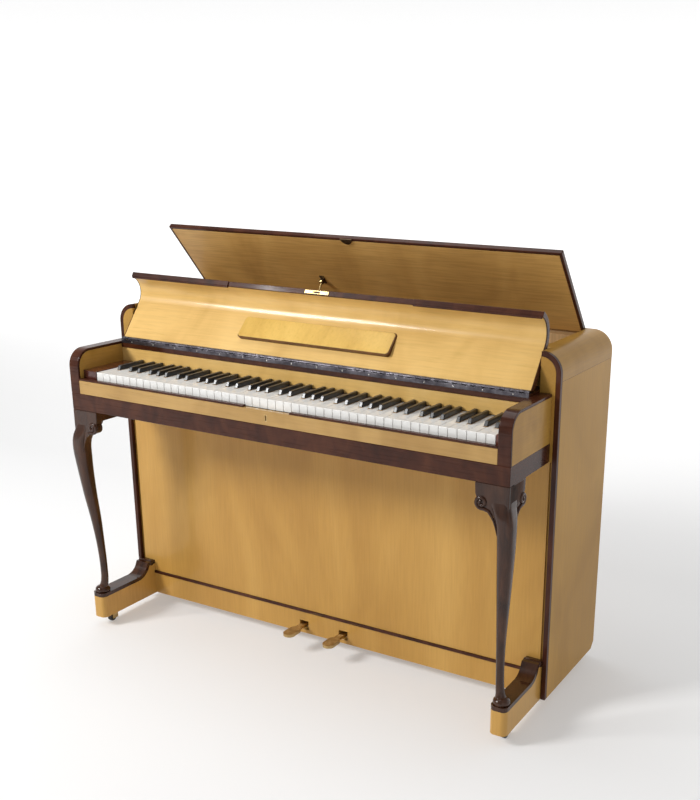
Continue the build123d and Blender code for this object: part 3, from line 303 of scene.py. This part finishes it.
# What each kept CAD piece is made of, and how far its edges are rounded, in millimetres.
finishes = {
    # Side panels, shoulders and arms take maples with painted shade.
    "side_panel_left": (shadedMapleUp, 1.2), "side_panel_right": (shadedMapleUp, 1.2),
    "shoulders": (shadedMapleBack, 0.8), "front_stiles": (darkTrimUp, 1.2),
    "arms": (shadedMapleBack, 0.8), "arm_caps": (darkTrim, 1.8),
    "keybed": (spruce, 1.0), "dark_mouldings": (darkTrim, 1.6),
    "key_slip": (shadedMapleSlip, 0.8), "slip_rims": (darkTrim, 1.4),
    "keyhole_liner": (brass, 0.4), "key_frame": (spruce, 1.0),
    "key_blocks": (keyBlockWood, 1.6), "nameboard": (mapleAcross, 0.8),
    "hinge_rail": (darkTrim, 2.0), "upper_panel": (mapleAcross, 1.0),
    "fall_panel": (mapleAcross, 0.6), "fall_edging": (darkTrim, 1.2),
    "strike_plate": (brass, 0.3), "lid_panel": (mapleUnder, 0.5),
    "lid_edging": (darkTrim, 2.0), "lid_catch": (darkBronze, 0.8),
    "lid_hinge_leaves": (brass, 0.3), "lid_stay": (brass, 0.4),
    "stay_bracket": (darkBronze, 0.5), "lower_panel": (mapleAmber, 0.8),
    "baseboard": (mapleAmber, 1.0), "bottom_board": (spruce, 1.0),
    "toe_blocks": (mapleAmber, 1.4), "toe_caps": (mahogany, 2.5),
    "caster_left": (brass, 0.4), "caster_right": (brass, 0.4),
    "caster_wheel_left": (rubber, 2.2), "caster_wheel_right": (rubber, 2.2),
    "pedal_left": (brass, 2.4), "pedal_right": (brass, 2.4),
    "back_frame": (spruce, 2.0), "soundboard": (spruce, 0.5),
    "iron_plate": (goldIron, 3.0), "rear_feet": (footWood, 2.0),
    "tuning_pins": (wireSteel, 0.4),
}
for nodeName in nodes:
    if nodeName.startswith("keys_") and not nodeName.endswith("_sharp"):
        finishes[nodeName] = (ivory, 1.1)


# Welds a piece's seams and rounds its sharp edges.
rounding = {"weld": 0.02, "sharperThan": 35}


def roundEdges(piece, width, segments=3):
    weld = piece.modifiers.new("weld", "WELD")
    weld.merge_threshold = rounding["weld"] * mm
    bevel = piece.modifiers.new("bevel", "BEVEL")
    bevel.width = width * mm
    bevel.segments = segments
    bevel.limit_method = "ANGLE"
    bevel.angle_limit = radians(rounding["sharperThan"])
    bevel.harden_normals = True
    normals = piece.modifiers.new("normals", "WEIGHTED_NORMAL")
    normals.keep_sharp = True


for nodeName, (material, width) in finishes.items():
    piece = nodes[nodeName]
    piece.data.materials.clear()
    piece.data.materials.append(material)
    roundEdges(piece, width)
print("cad pieces finished")


# Makes one piece with its faces turned outwards, on its body.
def meshPiece(name, verts, faces, material, body, slot, smooth=True):
    data = bpy.data.meshes.new(name)
    data.from_pydata(verts, [], faces)
    shell = bmesh.new()
    shell.from_mesh(data)
    bmesh.ops.recalc_face_normals(shell, faces=shell.faces)
    shell.to_mesh(data)
    shell.free()
    data.materials.append(material)
    if smooth:
        data.polygons.foreach_set("use_smooth", [True] * len(faces))
    piece = bpy.data.objects.new(name, data)
    bpy.context.scene.collection.objects.link(piece)
    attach(piece, body)
    return piece


# Sweeps a round section along points, with one radius for each.
def tubeMesh(points, radii, sides=10):
    rings = []
    points = [Vector(p) for p in points]
    for i, point in enumerate(points):
        ahead = points[min(i + 1, len(points) - 1)] - points[max(i - 1, 0)]
        ahead.normalize()
        side = ahead.orthogonal() if i == 0 else side - ahead * side.dot(ahead)
        side.normalize()
        other = ahead.cross(side)
        turns = [2 * pi * step / sides for step in range(sides)]
        rings.append([point + (side * cos(t) + other * sin(t)) * radii[i] for t in turns])
    return skinRings(rings)


# Joins closed rings of equal count into one skin with flat ends.
def skinRings(rings):
    count = len(rings[0])
    verts = [v for ring in rings for v in ring]
    faces = []
    for low in range(0, (len(rings) - 1) * count, count):
        high = low + count
        for step in range(count):
            ahead = (step + 1) % count
            faces.append((low + step, low + ahead, high + ahead, high + step))
    faces.append(tuple(reversed(range(count))))
    faces.append(tuple(range((len(rings) - 1) * count, len(rings) * count)))
    return verts, faces


def joinMeshes(parts):
    verts, faces = [], []
    for partVerts, partFaces in parts:
        start = len(verts)
        verts += partVerts
        faces += [tuple(start + i for i in face) for face in partFaces]
    return verts, faces


# Eases a list of stations into many, passing smoothly through each.
def easeStations(stations, perGap):
    out = []
    last = len(stations) - 1
    for i in range(last):
        a, b, c, d = (stations[max(0, min(last, i + k))] for k in (-1, 0, 1, 2))
        for step in range(perGap):
            t = step / perGap
            blend = []
            for p, q, r, s in zip(a, b, c, d):
                bend = (2 * p - 5 * q + 4 * r - s) * t ** 2 + (3 * q - p - 3 * r + s) * t ** 3
                blend.append(0.5 * (2 * q + (r - p) * t + bend))
            out.append(blend)
    out.append(list(stations[-1]))
    return out


# Cabriole leg. Stations: height share, inset from the arm's side and front, width, squareness.
# Ears and volutes are drawn from the leg's top outer corner, inwards and downwards.
leg = {
    "stations": [
        (0.955, 32, 32, 60, 9.0), (0.905, 23, 23.5, 50, 5.0), (0.865, 14, 16.5, 45, 3.8),
        (0.82, 9.5, 13.2, 42, 3.0), (0.74, 9.5, 14, 40, 2.8), (0.66, 11, 16, 37.5, 2.6),
        (0.54, 14.5, 21, 33, 2.4), (0.415, 19, 28, 27.5, 2.3), (0.285, 22.5, 33, 22, 2.2),
        (0.175, 24, 36, 20, 2.1), (0.085, 23.5, 37, 20, 2.1), (0.045, 21, 35.5, 23, 2.0),
        (0.028, 18, 33, 28, 2.0),
    ],
    "sides": 28,
    "perStation": 6,
    "ridge": {"height": 0.13, "share": 0.80, "spread": 0.085, "width": 0.28},
    "ear": {"front": 84, "side": 86, "thickness": 20, "lip": 26},
    "earCurve": {"from": 40, "to": -125, "steps": 12},
    "earSweep": [(18, 15), (24, 21), (29, 29), (34, 42), (38, 58), (41, 76), (43, 96), (58, 96)],
    "earRoot": 40,
    "volute": {"radius": 17.0, "drop": 45.0, "from": -110, "turn": 560, "shrink": 0.80},
    "voluteTail": [(41, 72), (36, 52), (31, 38), (25, 27), (18, 18)],
    "bead": {"radius": 4.2, "inset": 2, "rise": 0.6, "thinnest": 0.25, "grow": 6, "steps": 26},
    "block": {"height": 27.75, "outer": 0.5, "inner": 1},
    "edge": 1.6,
    "footInset": 22,
    "footSides": 36,
    "footProfile": [(0, 18.5), (2, 20.5), (6, 21), (11, 20), (15, 16.5), (17.5, 11), (18, 6)],
}


def earOutline(reach):
    radius, drop = leg["volute"]["radius"], leg["volute"]["drop"]
    middle = reach - radius
    curve = leg["earCurve"]
    outline = [(0, 0), (reach, 0), (reach - 1, -leg["ear"]["lip"])]
    for step in range(curve["steps"] + 1):
        turn = radians(curve["from"] + (curve["to"] - curve["from"]) * step / curve["steps"])
        outline.append((middle + radius * cos(turn), -drop + radius * sin(turn)))
    outline += [(middle - inward, -drop - fall) for inward, fall in leg["earSweep"]]
    outline.append((0, -drop - leg["earRoot"]))
    return outline


def voluteLine(reach):
    volute, bead = leg["volute"], leg["bead"]
    drop = volute["drop"]
    middle = reach - volute["radius"]
    line = [(middle - inward, -drop - fall) for inward, fall in leg["voluteTail"]]
    for step in range(bead["steps"] + 1):
        share = step / bead["steps"]
        turn = radians(volute["from"] + volute["turn"] * share)
        coil = (volute["radius"] - bead["inset"]) * (1 - volute["shrink"] * share)
        line.append((middle + coil * cos(turn), -drop + coil * sin(turn)))
    return line


def legSection(x, y, z, width, square, side, ridge):
    ring = []
    outward = atan2(-1, side)
    for step in range(leg["sides"]):
        turn = 2 * pi * step / leg["sides"]
        c, s = cos(turn), sin(turn)
        reach = (abs(c) ** square + abs(s) ** square) ** (-1 / square)
        away = (turn - outward + pi) % (2 * pi) - pi
        reach *= 1 + ridge * exp(-(away / leg["ridge"]["width"]) ** 2)
        ring.append((x + reach * c * width / 2, y + reach * s * width / 2, z))
    return ring


def legShank(side, cornerX, cornerY, legLow, legHigh):
    height = legHigh.z - legLow.z
    knee = leg["ridge"]
    rings = []
    for share, inset, setback, width, square in easeStations(leg["stations"], leg["perStation"]):
        x = cornerX - side * inset * mm
        y = cornerY + setback * mm
        z = legLow.z + share * height
        ridge = knee["height"] * exp(-((share - knee["share"]) / knee["spread"]) ** 2)
        rings.append(legSection(x, y, z, width * mm, square, side, ridge))
    return skinRings(rings)


def legFoot(side, floorZ):
    capLow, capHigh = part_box("toe_caps")
    x = side * (capHigh.x - leg["footInset"] * mm)
    y = capLow.y + leg["footInset"] * mm
    turns = [2 * pi * step / leg["footSides"] for step in range(leg["footSides"])]
    rings = []
    for z, radius in leg["footProfile"]:
        reach = radius * mm
        rings.append([(x + reach * cos(t), y + reach * sin(t), floorZ + z * mm) for t in turns])
    return skinRings(rings)


def cabrioleLeg(side, nodeName):
    armLow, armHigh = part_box("arm_caps")
    legLow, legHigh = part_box(nodeName)
    cornerX, cornerY = side * armHigh.x, armLow.y
    parts = [legShank(side, cornerX, cornerY, legLow, legHigh), legFoot(side, legLow.z)]
    shank = meshPiece(nodeName + ".shank", *joinMeshes(parts), mahogany, "root", "mahogany")
    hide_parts(nodeName)

    def place(u, v, w):
        return (cornerX - side * u * mm, cornerY + v * mm, legHigh.z + w * mm)

    thickness = leg["ear"]["thickness"]
    lift = leg["bead"]["rise"]
    frontEar = earOutline(leg["ear"]["front"])
    sideEar = [(max(v, thickness), w) for v, w in earOutline(leg["ear"]["side"])]
    lowest = -leg["block"]["height"]
    outer, inner = leg["block"]["outer"], leg["block"]["inner"]
    right, rear = leg["ear"]["front"] - inner, leg["ear"]["side"] - inner
    corners = [(outer, outer), (right, outer), (right, rear), (outer, rear)]
    ears = [
        skinRings([[place(u, v, w) for u, w in frontEar] for v in (0, thickness)]),
        skinRings([[place(u, v, w) for v, w in sideEar] for u in (0, thickness)]),
        skinRings([[place(u, v, w) for u, v in corners] for w in (lowest, 0)]),
    ]
    earPiece = meshPiece(nodeName + ".ears", *joinMeshes(ears), mahogany, "root", "mahogany")
    roundEdges(earPiece, leg["edge"])

    lines = [
        [place(u, -lift, w) for u, w in voluteLine(leg["ear"]["front"])],
        [place(-lift, v, w) for v, w in voluteLine(leg["ear"]["side"])],
    ]
    thinnest, grow = leg["bead"]["thinnest"], leg["bead"]["grow"]
    thick = [
        leg["bead"]["radius"] * mm * min(1.0, thinnest + i / grow) for i in range(len(lines[0]))
    ]
    beads = [tubeMesh(line, thick) for line in lines]
    meshPiece(nodeName + ".volutes", *joinMeshes(beads), mahogany, "root", "mahogany")


cabrioleLeg(-1, "leg_left")
cabrioleLeg(1, "leg_right")
print("legs carved")


# Box with its own corners, for rows of small repeated pieces.
def boxMesh(low, high):
    x0, y0, z0 = low
    x1, y1, z1 = high
    ring = [(x0, y0), (x1, y0), (x1, y1), (x0, y1)]
    return skinRings([[(x, y, z0) for x, y in ring], [(x, y, z1) for x, y in ring]])


# Strings: single wound ones in the bass, and three plain wires a note above.
stringing = {
    "notes": 85, "bassNotes": 24, "bassRadius": 1.5, "bassThinner": 0.02, "bassSides": 8,
    "wireRadius": 0.5, "wireSpacing": 2.6, "wireSides": 6, "setBack": 0.6,
    "pinSide": 3.4, "pinStart": 4.0, "pinStep": 16.0,
    "bridgeGap": 1.8, "bridgeHeight": 12.0, "bridgeEdge": 1.5,
}


def strings():
    low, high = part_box("strings")
    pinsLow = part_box("tuning_pins")[0]
    pitch = (high.x - low.x) / stringing["notes"]
    y = low.y + stringing["setBack"] * mm
    thin = stringing["wireRadius"] * mm

    def wire(x, z, toX, toZ, radius, sides):
        return tubeMesh([(x, y, z), (toX, y, toZ)], [radius, radius], sides)

    bass, treble = [], []
    for note in range(stringing["notes"]):
        x = low.x + (note + 0.5) * pitch
        pinX = x + stringing["pinSide"] * mm
        pinZ = pinsLow.z + (stringing["pinStart"] + stringing["pinStep"] * (note % 3)) * mm
        if note < stringing["bassNotes"]:
            radius = (stringing["bassRadius"] - stringing["bassThinner"] * note) * mm
            bass.append(wire(x, low.z, x, high.z, radius, stringing["bassSides"]))
            treble.append(wire(x, high.z, pinX, pinZ, thin, stringing["wireSides"]))
            continue
        for k in (-1, 0, 1):
            wireX = x + k * stringing["wireSpacing"] * mm
            treble.append(wire(wireX, low.z, wireX, high.z, thin, stringing["wireSides"]))
            treble.append(wire(wireX, high.z, pinX, pinZ, thin, stringing["wireSides"]))
    wound = meshPiece("bassStrings", *joinMeshes(bass), copperWire, "root", "string_steel")
    plain = meshPiece("trebleStrings", *joinMeshes(treble), wireSteel, "root", "string_steel")
    front = low.y + stringing["bridgeGap"] * mm
    tall = stringing["bridgeHeight"] * mm
    bridges = joinMeshes([
        boxMesh((low.x, front, z), (high.x, high.y, z + tall)) for z in (low.z, high.z - tall)
    ])
    bridge = meshPiece("stringBridges", *bridges, spruce, "root", "spruce", smooth=False)
    roundEdges(bridge, stringing["bridgeEdge"])
    for piece in (wound, plain, bridge):
        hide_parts("strings")


strings()
print("strings strung")


# Hammers: felt heads that grow smaller towards the treble, on maple shanks over one rail.
hammer = {
    "notes": 85, "headThickness": 8.0, "headHeight": 17.0, "headReach": 13.5, "headPlace": 14.0,
    "headSides": 20, "thinner": 0.012, "shorter": 0.05, "pinch": 0.45, "pinchTurn": 1.5,
    "middle": 9.0, "shankRadius": 2.2, "shankSides": 8, "shankSetback": 12.0, "shankFoot": 2.0,
    "shankTop": 6.0, "armHalf": 3.0, "armEnd": 16.0, "railHeight": 20.0, "railDepth": 24.0,
    "headEdge": 0.8, "railEdge": 1.5,
}


def hammers():
    low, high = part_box("hammers")
    stringLow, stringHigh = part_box("strings")
    pitch = (stringHigh.x - stringLow.x) / hammer["notes"]
    railTop = low.z + hammer["railHeight"] * mm
    railBack = low.y + hammer["railDepth"] * mm
    middle = high.z - hammer["middle"] * mm
    shankY = low.y + hammer["shankSetback"] * mm
    foot = railTop - hammer["shankFoot"] * mm
    top = middle + hammer["shankTop"] * mm
    arm = hammer["armHalf"] * mm
    armEnd = high.y - hammer["armEnd"] * mm
    radius = hammer["shankRadius"] * mm
    headY = high.y - hammer["headPlace"] * mm
    reach = hammer["headReach"] * mm
    heads, shanks = [], []
    for note in range(hammer["notes"]):
        x = stringLow.x + (note + 0.5) * pitch
        line = [(x, shankY, foot), (x, shankY, top)]
        shanks.append(tubeMesh(line, [radius, radius], hammer["shankSides"]))
        shanks.append(boxMesh(
            (x - arm, shankY - arm, middle - arm), (x + arm, armEnd, middle + arm)))
        half = (hammer["headThickness"] / 2 - hammer["thinner"] * note) * mm
        tall = (hammer["headHeight"] - hammer["shorter"] * note) / 2 * mm
        outline = []
        for step in range(hammer["headSides"]):
            turn = 2 * pi * step / hammer["headSides"]
            pinch = 1 - hammer["pinch"] * max(0.0, cos(turn)) ** hammer["pinchTurn"]
            outline.append((headY + reach * cos(turn), middle + tall * sin(turn) * pinch))
        heads.append(skinRings([[(x + dx, y, z) for y, z in outline] for dx in (-half, half)]))
    head = meshPiece("hammerHeads", *joinMeshes(heads), felt, "root", "hammer_felt")
    roundEdges(head, hammer["headEdge"], 2)
    shank = meshPiece("hammerShanks", *joinMeshes(shanks), mapleAcross, "root", "maple")
    bar = boxMesh(low, (high.x, railBack, railTop))
    rail = meshPiece("hammerRail", *bar, spruce, "root", "spruce", smooth=False)
    roundEdges(rail, hammer["railEdge"])
    for piece in (head, shank, rail):
        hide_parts("hammers")


hammers()
print("hammers set")


# Hinges: fine knuckles on a pin, thin leaves and round-headed screws.
hinge = {
    "axis": 3.0, "barrel": 2.9, "barrelSides": 14, "knuckles": 101, "gap": 0.5, "pin": 1.4,
    "leaf": 0.9,
    "leafTop": 0.72, "frontLeaf": 9.0, "reach": 18.0, "screwPitch": 76.0, "screwRadius": 2.0,
    "edge": 0.25,
}
lidHinge = {
    "setback": 7.0, "rise": 3.8, "barrel": 3.5, "barrelSides": 16, "length": 60.0,
    "pitch": 440.0, "leaf": 1.1,
    "clear": 0.3, "neck": 1.0, "pin": 1.4, "screws": (-22.0, -8.0, 8.0, 22.0),
    "screwRadius": 1.3, "screwInset": 1.6,
}
screw = {"dome": ((-0.3, 1.0), (0.25, 1.0), (0.6, 0.75), (0.75, 0.35)), "rise": 0.6, "sides": 12}


# A screw head: a low dome that stands on a surface and faces along out.
def screwHead(place, out, radius):
    out = Vector(out)
    side = out.orthogonal().normalized()
    other = out.cross(side)
    turns = [2 * pi * step / screw["sides"] for step in range(screw["sides"])]
    rings = []
    for lift, share in screw["dome"]:
        middle = Vector(place) + out * lift * radius * screw["rise"]
        rings.append([middle + (side * cos(t) + other * sin(t)) * radius * share for t in turns])
    return skinRings(rings)


def fallHinge():
    low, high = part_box("fall_hinge_leaf")
    axisY = low.y + hinge["axis"] * mm
    axisZ = low.z + hinge["axis"] * mm
    pitch = (high.x - low.x) / hinge["knuckles"]
    barrel, leaf, pin = hinge["barrel"] * mm, hinge["leaf"] * mm, hinge["pin"] * mm
    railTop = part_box("hinge_rail")[1].z
    leafTop = railTop + hinge["leafTop"] * mm
    back = axisY + hinge["reach"] * mm
    front = axisY - hinge["axis"] * mm
    frontLow = railTop - hinge["frontLeaf"] * mm
    railParts = [
        boxMesh((low.x, front, railTop), (high.x, back, leafTop)),
        boxMesh((low.x, front - leaf, frontLow), (high.x, front, leafTop)),
        tubeMesh([(low.x, axisY, axisZ), (high.x, axisY, axisZ)], [pin, pin]),
    ]
    fallParts = [boxMesh((low.x, axisY + barrel, high.z - leaf), (high.x, back, high.z))]
    for place in range(hinge["knuckles"]):
        start = low.x + place * pitch + hinge["gap"] / 2 * mm
        end = start + pitch - hinge["gap"] * mm
        parts = fallParts if place % 2 else railParts
        line = [(start, axisY, axisZ), (end, axisY, axisZ)]
        parts.append(tubeMesh(line, [barrel, barrel], hinge["barrelSides"]))
        if place % 2 == 0:
            parts.append(boxMesh((start, axisY - barrel, railTop), (end, axisY, axisZ)))
    screwCount = int((high.x - low.x) / (hinge["screwPitch"] * mm))
    screws = []
    for place in range(screwCount):
        x = low.x + (place + 0.5) * (high.x - low.x) / screwCount
        spot = (x, front - leaf, railTop - hinge["frontLeaf"] * mm / 2)
        screws.append(screwHead(spot, (0, -1, 0), hinge["screwRadius"] * mm))
    return railParts, fallParts, screws


def lidHinges():
    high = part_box("back_frame")[1]
    axisY = high.y - lidHinge["setback"] * mm
    axisZ = high.z + lidHinge["rise"] * mm
    radius, pin = lidHinge["barrel"] * mm, lidHinge["pin"] * mm
    half = lidHinge["length"] / 2 * mm
    third = half / 3
    clear = lidHinge["clear"] * mm
    leafTop = high.z + lidHinge["leaf"] * mm
    neckTop = axisZ - lidHinge["neck"] * mm
    screwY = high.y - lidHinge["screwInset"] * mm
    knuckle = axisY + radius
    leafFront = knuckle + clear
    parts, screws = [], []
    for step in (-1, 0, 1):
        x = step * lidHinge["pitch"] * mm
        line = [(x - third, axisY, axisZ), (x + third, axisY, axisZ)]
        parts += [
            boxMesh((x - half, leafFront, high.z), (x + half, high.y, leafTop)),
            tubeMesh(line, [radius, radius], lidHinge["barrelSides"]),
            tubeMesh([(x - half, axisY, axisZ), (x + half, axisY, axisZ)], [pin, pin]),
            boxMesh((x - third, axisY + clear, high.z), (x + third, knuckle, neckTop)),
        ]
        for along in lidHinge["screws"]:
            spot = (x + along * mm, screwY, leafTop)
            screws.append(screwHead(spot, (0, 0, 1), lidHinge["screwRadius"] * mm))
    return parts, screws


railParts, fallParts, railScrews = fallHinge()
lidParts, lidScrews = lidHinges()
railHinge = meshPiece(
    "railHinge", *joinMeshes(railParts), agedNickel, "root", "nickel", smooth=False)
lidHingeRear = meshPiece(
    "lidHingeRear", *joinMeshes(lidParts), brass, "root", "brass", smooth=False)
screws = meshPiece("hingeScrews", *joinMeshes(railScrews + lidScrews), nickel, "root", "nickel")
fallLeaf = meshPiece(
    "fallHingeLeaf", *joinMeshes(fallParts), agedNickel, "fall", "nickel", smooth=False)
for piece in (railHinge, lidHingeRear, screws):
    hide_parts("hinge_fixed_leaves")
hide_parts("fall_hinge_leaf")
for piece in (railHinge, lidHingeRear, fallLeaf):
    roundEdges(piece, hinge["edge"], 2)
print("hinges made")

# Music ledge: a wedge with round corners, dark at its rim and light on its face. Rim and face
# are rings, each with its inset and its depth below the face, and the first ring on the fall.
ledge = {
    "width": 462.0, "start": 38.75, "length": 65.0, "foot": 11.0, "head": 2.0, "corner": 9.0,
    "darkFoot": 3.0, "darkEnd": 3.0, "lift": 0.1, "cornerSteps": 7,
    "rim": ((0, None), (0, 0.96), (1.2, 0.32)), "face": ((0, 1.6), (0.35, 0.5), (1.3, 0.0)),
}
fallFace = {"hingeToFace": 6.75, "baseGap": 1.0, "leanY": 0.6, "leanZ": 0.8}


# A place on the open fall: across it, up along its face, and out from the face.
def onFall(x, along, out):
    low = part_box("fall_hinge_leaf")[0]
    leanY, leanZ = fallFace["leanY"], fallFace["leanZ"]
    y = hinge["axis"] + fallFace["hingeToFace"] + along * leanY - out * leanZ
    z = hinge["axis"] + fallFace["baseGap"] + along * leanZ + out * leanY
    return (x * mm, low.y + y * mm, low.z + z * mm)


def ledgeOutline(inset, isFace):
    half = ledge["width"] / 2 - inset
    right = half - (ledge["darkEnd"] if isFace else 0)
    low, high = ledge["start"] + inset, ledge["start"] + ledge["length"] - inset
    low += ledge["darkFoot"] if isFace else 0
    corner = ledge["corner"] - inset
    outline = []
    corners = ((right, high, 0), (-half, high, 90), (-half, low, 180), (right, low, 270))
    for x, along, first in corners:
        middleX = x - corner * (1 if x > 0 else -1)
        middleAlong = along - corner * (1 if along == high else -1)
        for step in range(ledge["cornerSteps"] + 1):
            turn = radians(first + 90 * step / ledge["cornerSteps"])
            outline.append((middleX + corner * cos(turn), middleAlong + corner * sin(turn)))
    return outline


def ledgeSkin(part):
    rings = []
    for inset, drop in ledge[part]:
        ring = []
        for x, along in ledgeOutline(inset, part == "face"):
            out = ledge["lift"]
            if drop is not None:
                share = (along - ledge["start"]) / ledge["length"]
                out = ledge["foot"] + (ledge["head"] - ledge["foot"]) * share - drop
            ring.append(onFall(x, along, out))
        rings.append(ring)
    return skinRings(rings)


rim = meshPiece(
    "musicLedge.rim", *ledgeSkin("rim"), ledgeRim, "fall", "dark_trim", smooth=False)
face = meshPiece("musicLedge.face", *ledgeSkin("face"), ledgeMaple, "fall", "maple", smooth=False)
for piece in (rim, face):
    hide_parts("music_ledge")
print("ledge shaped")

# Dark bead under the lip of the fall, on both sides of the plain middle.
lipBead = {
    "middle": (39.0, 119.0), "radius": 45.0, "turn": 61.13, "start": 281.0, "end": 614.0,
    "lip": 8.0, "lift": 0.1, "edge": 0.5,
    "section": ((0.0, 0.0), (0.0, 2.4), (1.2, 3.6), (2.6, 4.0), (6.5, 2.6), (6.5, 0.0)),
}


def lipBeads():
    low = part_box("fall_hinge_leaf")[0]
    turn = radians(lipBead["turn"])
    middleY, middleZ = lipBead["middle"]
    section = []
    for back, inward in lipBead["section"]:
        along = lipBead["lip"] - back
        reach = lipBead["radius"] - inward + lipBead["lift"]
        y = hinge["axis"] + middleY + reach * cos(turn) - along * sin(turn)
        z = hinge["axis"] + middleZ + reach * sin(turn) + along * cos(turn)
        section.append((low.y + y * mm, low.z + z * mm))
    parts = []
    for side in (-1, 1):
        ends = (side * lipBead["start"] * mm, side * lipBead["end"] * mm)
        parts.append(skinRings([[(x, y, z) for y, z in section] for x in ends]))
    bead = meshPiece("lipBeads", *joinMeshes(parts), darkTrim, "fall", "dark_trim", smooth=False)
    roundEdges(bead, lipBead["edge"], 2)


lipBeads()
print("lip beads added")

# Sharps: tapered tops with soft edges, each on its plain lever.
sharp = {
    "rise": 12.0, "baseHalf": 5.1, "topHalf": 4.5, "slope": 6.5, "backGap": 1.5,
    "backSlope": 0.4, "edge": 1.5, "leverHalf": 5.3, "leverSetback": 0.5, "apart": 15.0,
}


# The middles of the keys in a node that holds several.
def keyMiddles(nodeName):
    piece = nodes[nodeName]
    places = sorted({round((piece.matrix_world @ v.co).x, 5) for v in piece.data.vertices})
    groups = [[places[0]]]
    for x in places[1:]:
        if x - groups[-1][0] > sharp["apart"] * mm:
            groups.append([x])
        else:
            groups[-1].append(x)
    return [(group[0] + group[-1]) / 2 for group in groups]


def sharpKeys(nodeName):
    low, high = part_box(nodeName)
    level = high.z - sharp["rise"] * mm
    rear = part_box("nameboard")[0].y - (sharp["backGap"] + sharp["backSlope"]) * mm
    half = sharp["leverHalf"] * mm
    leverFront = low.y + sharp["leverSetback"] * mm
    tops, levers = [], []
    for x in keyMiddles(nodeName):
        rings = []
        for rise, width, slope in (
            (0, sharp["baseHalf"] * mm, 0), (sharp["rise"], sharp["topHalf"] * mm, sharp["slope"]),
        ):
            front, z = low.y + slope * mm, level + rise * mm
            left, right = x - width, x + width
            rings.append([(left, front, z), (right, front, z), (right, rear, z), (left, rear, z)])
        tops.append(skinRings(rings))
        levers.append(boxMesh((x - half, leverFront, low.z), (x + half, high.y, level)))
    top = meshPiece(
        nodeName + ".tops", *joinMeshes(tops), ebony, nodeName, "key_black", smooth=False)
    roundEdges(top, sharp["edge"])
    lever = meshPiece(
        nodeName + ".levers", *joinMeshes(levers), spruce, nodeName, "key_black", smooth=False)
    for piece in (top, lever):
        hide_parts(nodeName)


for nodeName in sorted(nodes):
    if nodeName.startswith("keys_") and nodeName.endswith("_sharp"):
        sharpKeys(nodeName)
print("sharps shaped")

# Dark joints between shoulders and sides, and rolled rear ends on the toe caps.
trim = {
    "seamHalf": 0.9, "seamSink": 0.25, "seamDepth": 3.0, "seamInset": 0.5,
    "toeWidth": 44.0, "rollRadius": 8.5, "rollDrop": 6.0, "rollSetback": 4.0, "rollOver": 1.0,
    "rollRound": 1.2, "rollRoundLength": 1.5, "rollSides": 28,
}


def trims():
    sideLow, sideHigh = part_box("side_panel_right")
    outer = sideHigh.x - trim["seamSink"] * mm
    inset, half = trim["seamInset"] * mm, trim["seamHalf"] * mm
    seams = []
    for side in (-1, 1):
        xs = sorted((side * outer, side * (outer - trim["seamDepth"] * mm)))
        seams.append(boxMesh(
            (xs[0], sideLow.y + inset, sideHigh.z - half),
            (xs[1], sideHigh.y - inset, sideHigh.z + half),
        ))
    meshPiece("shoulderSeams", *joinMeshes(seams), darkTrim, "root", "dark_trim", smooth=False)
    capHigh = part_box("toe_caps")[1]
    toeInner = capHigh.x - trim["toeWidth"] * mm
    over = trim["rollOver"] * mm
    y = capHigh.y - (trim["rollRadius"] + trim["rollSetback"]) * mm
    z = capHigh.z - trim["rollDrop"] * mm
    radius = trim["rollRadius"] * mm
    narrow = radius - trim["rollRound"] * mm
    length = trim["rollRoundLength"] * mm
    rolls = []
    for side in (-1, 1):
        first, last = sorted((side * (toeInner - over), side * (capHigh.x + over)))
        ends = [(x, y, z) for x in (first, first + length, last - length, last)]
        rolls.append(tubeMesh(ends, [narrow, radius, radius, narrow], trim["rollSides"]))
    roll = meshPiece("toeRolls", *joinMeshes(rolls), mahogany, "root", "mahogany")
    isRound = [len(face.vertices) == 4 for face in roll.data.polygons]
    roll.data.polygons.foreach_set("use_smooth", isRound)


trims()
print("trims added")


# The bowl: a flat floor that bends up into a round wall.
def addFloor():
    reach, bend = studio["floorRadius"], studio["bendRadius"]
    section = [(studio["floorMiddle"], 0.0), (reach - bend, 0.0)]
    for step in range(1, studio["bendSteps"] + 1):
        turn = step / studio["bendSteps"] * pi / 2
        section.append((reach - bend + bend * sin(turn), bend - bend * cos(turn)))
    section.append((reach, studio["wallHeight"]))
    turns = [2 * pi * step / studio["wallSides"] for step in range(studio["wallSides"])]
    rings = [[(far * cos(turn), far * sin(turn), z) for turn in turns] for far, z in section]
    verts, faces = skinRings(rings)
    faces.pop()
    data = bpy.data.meshes.new("floor")
    data.from_pydata(verts, [], faces)
    data.materials.append(floorFinish())
    data.polygons.foreach_set("use_smooth", [True] * len(data.polygons))
    floor = bpy.data.objects.new("floor", data)
    bpy.context.scene.collection.objects.link(floor)


addFloor()
print("floor laid")
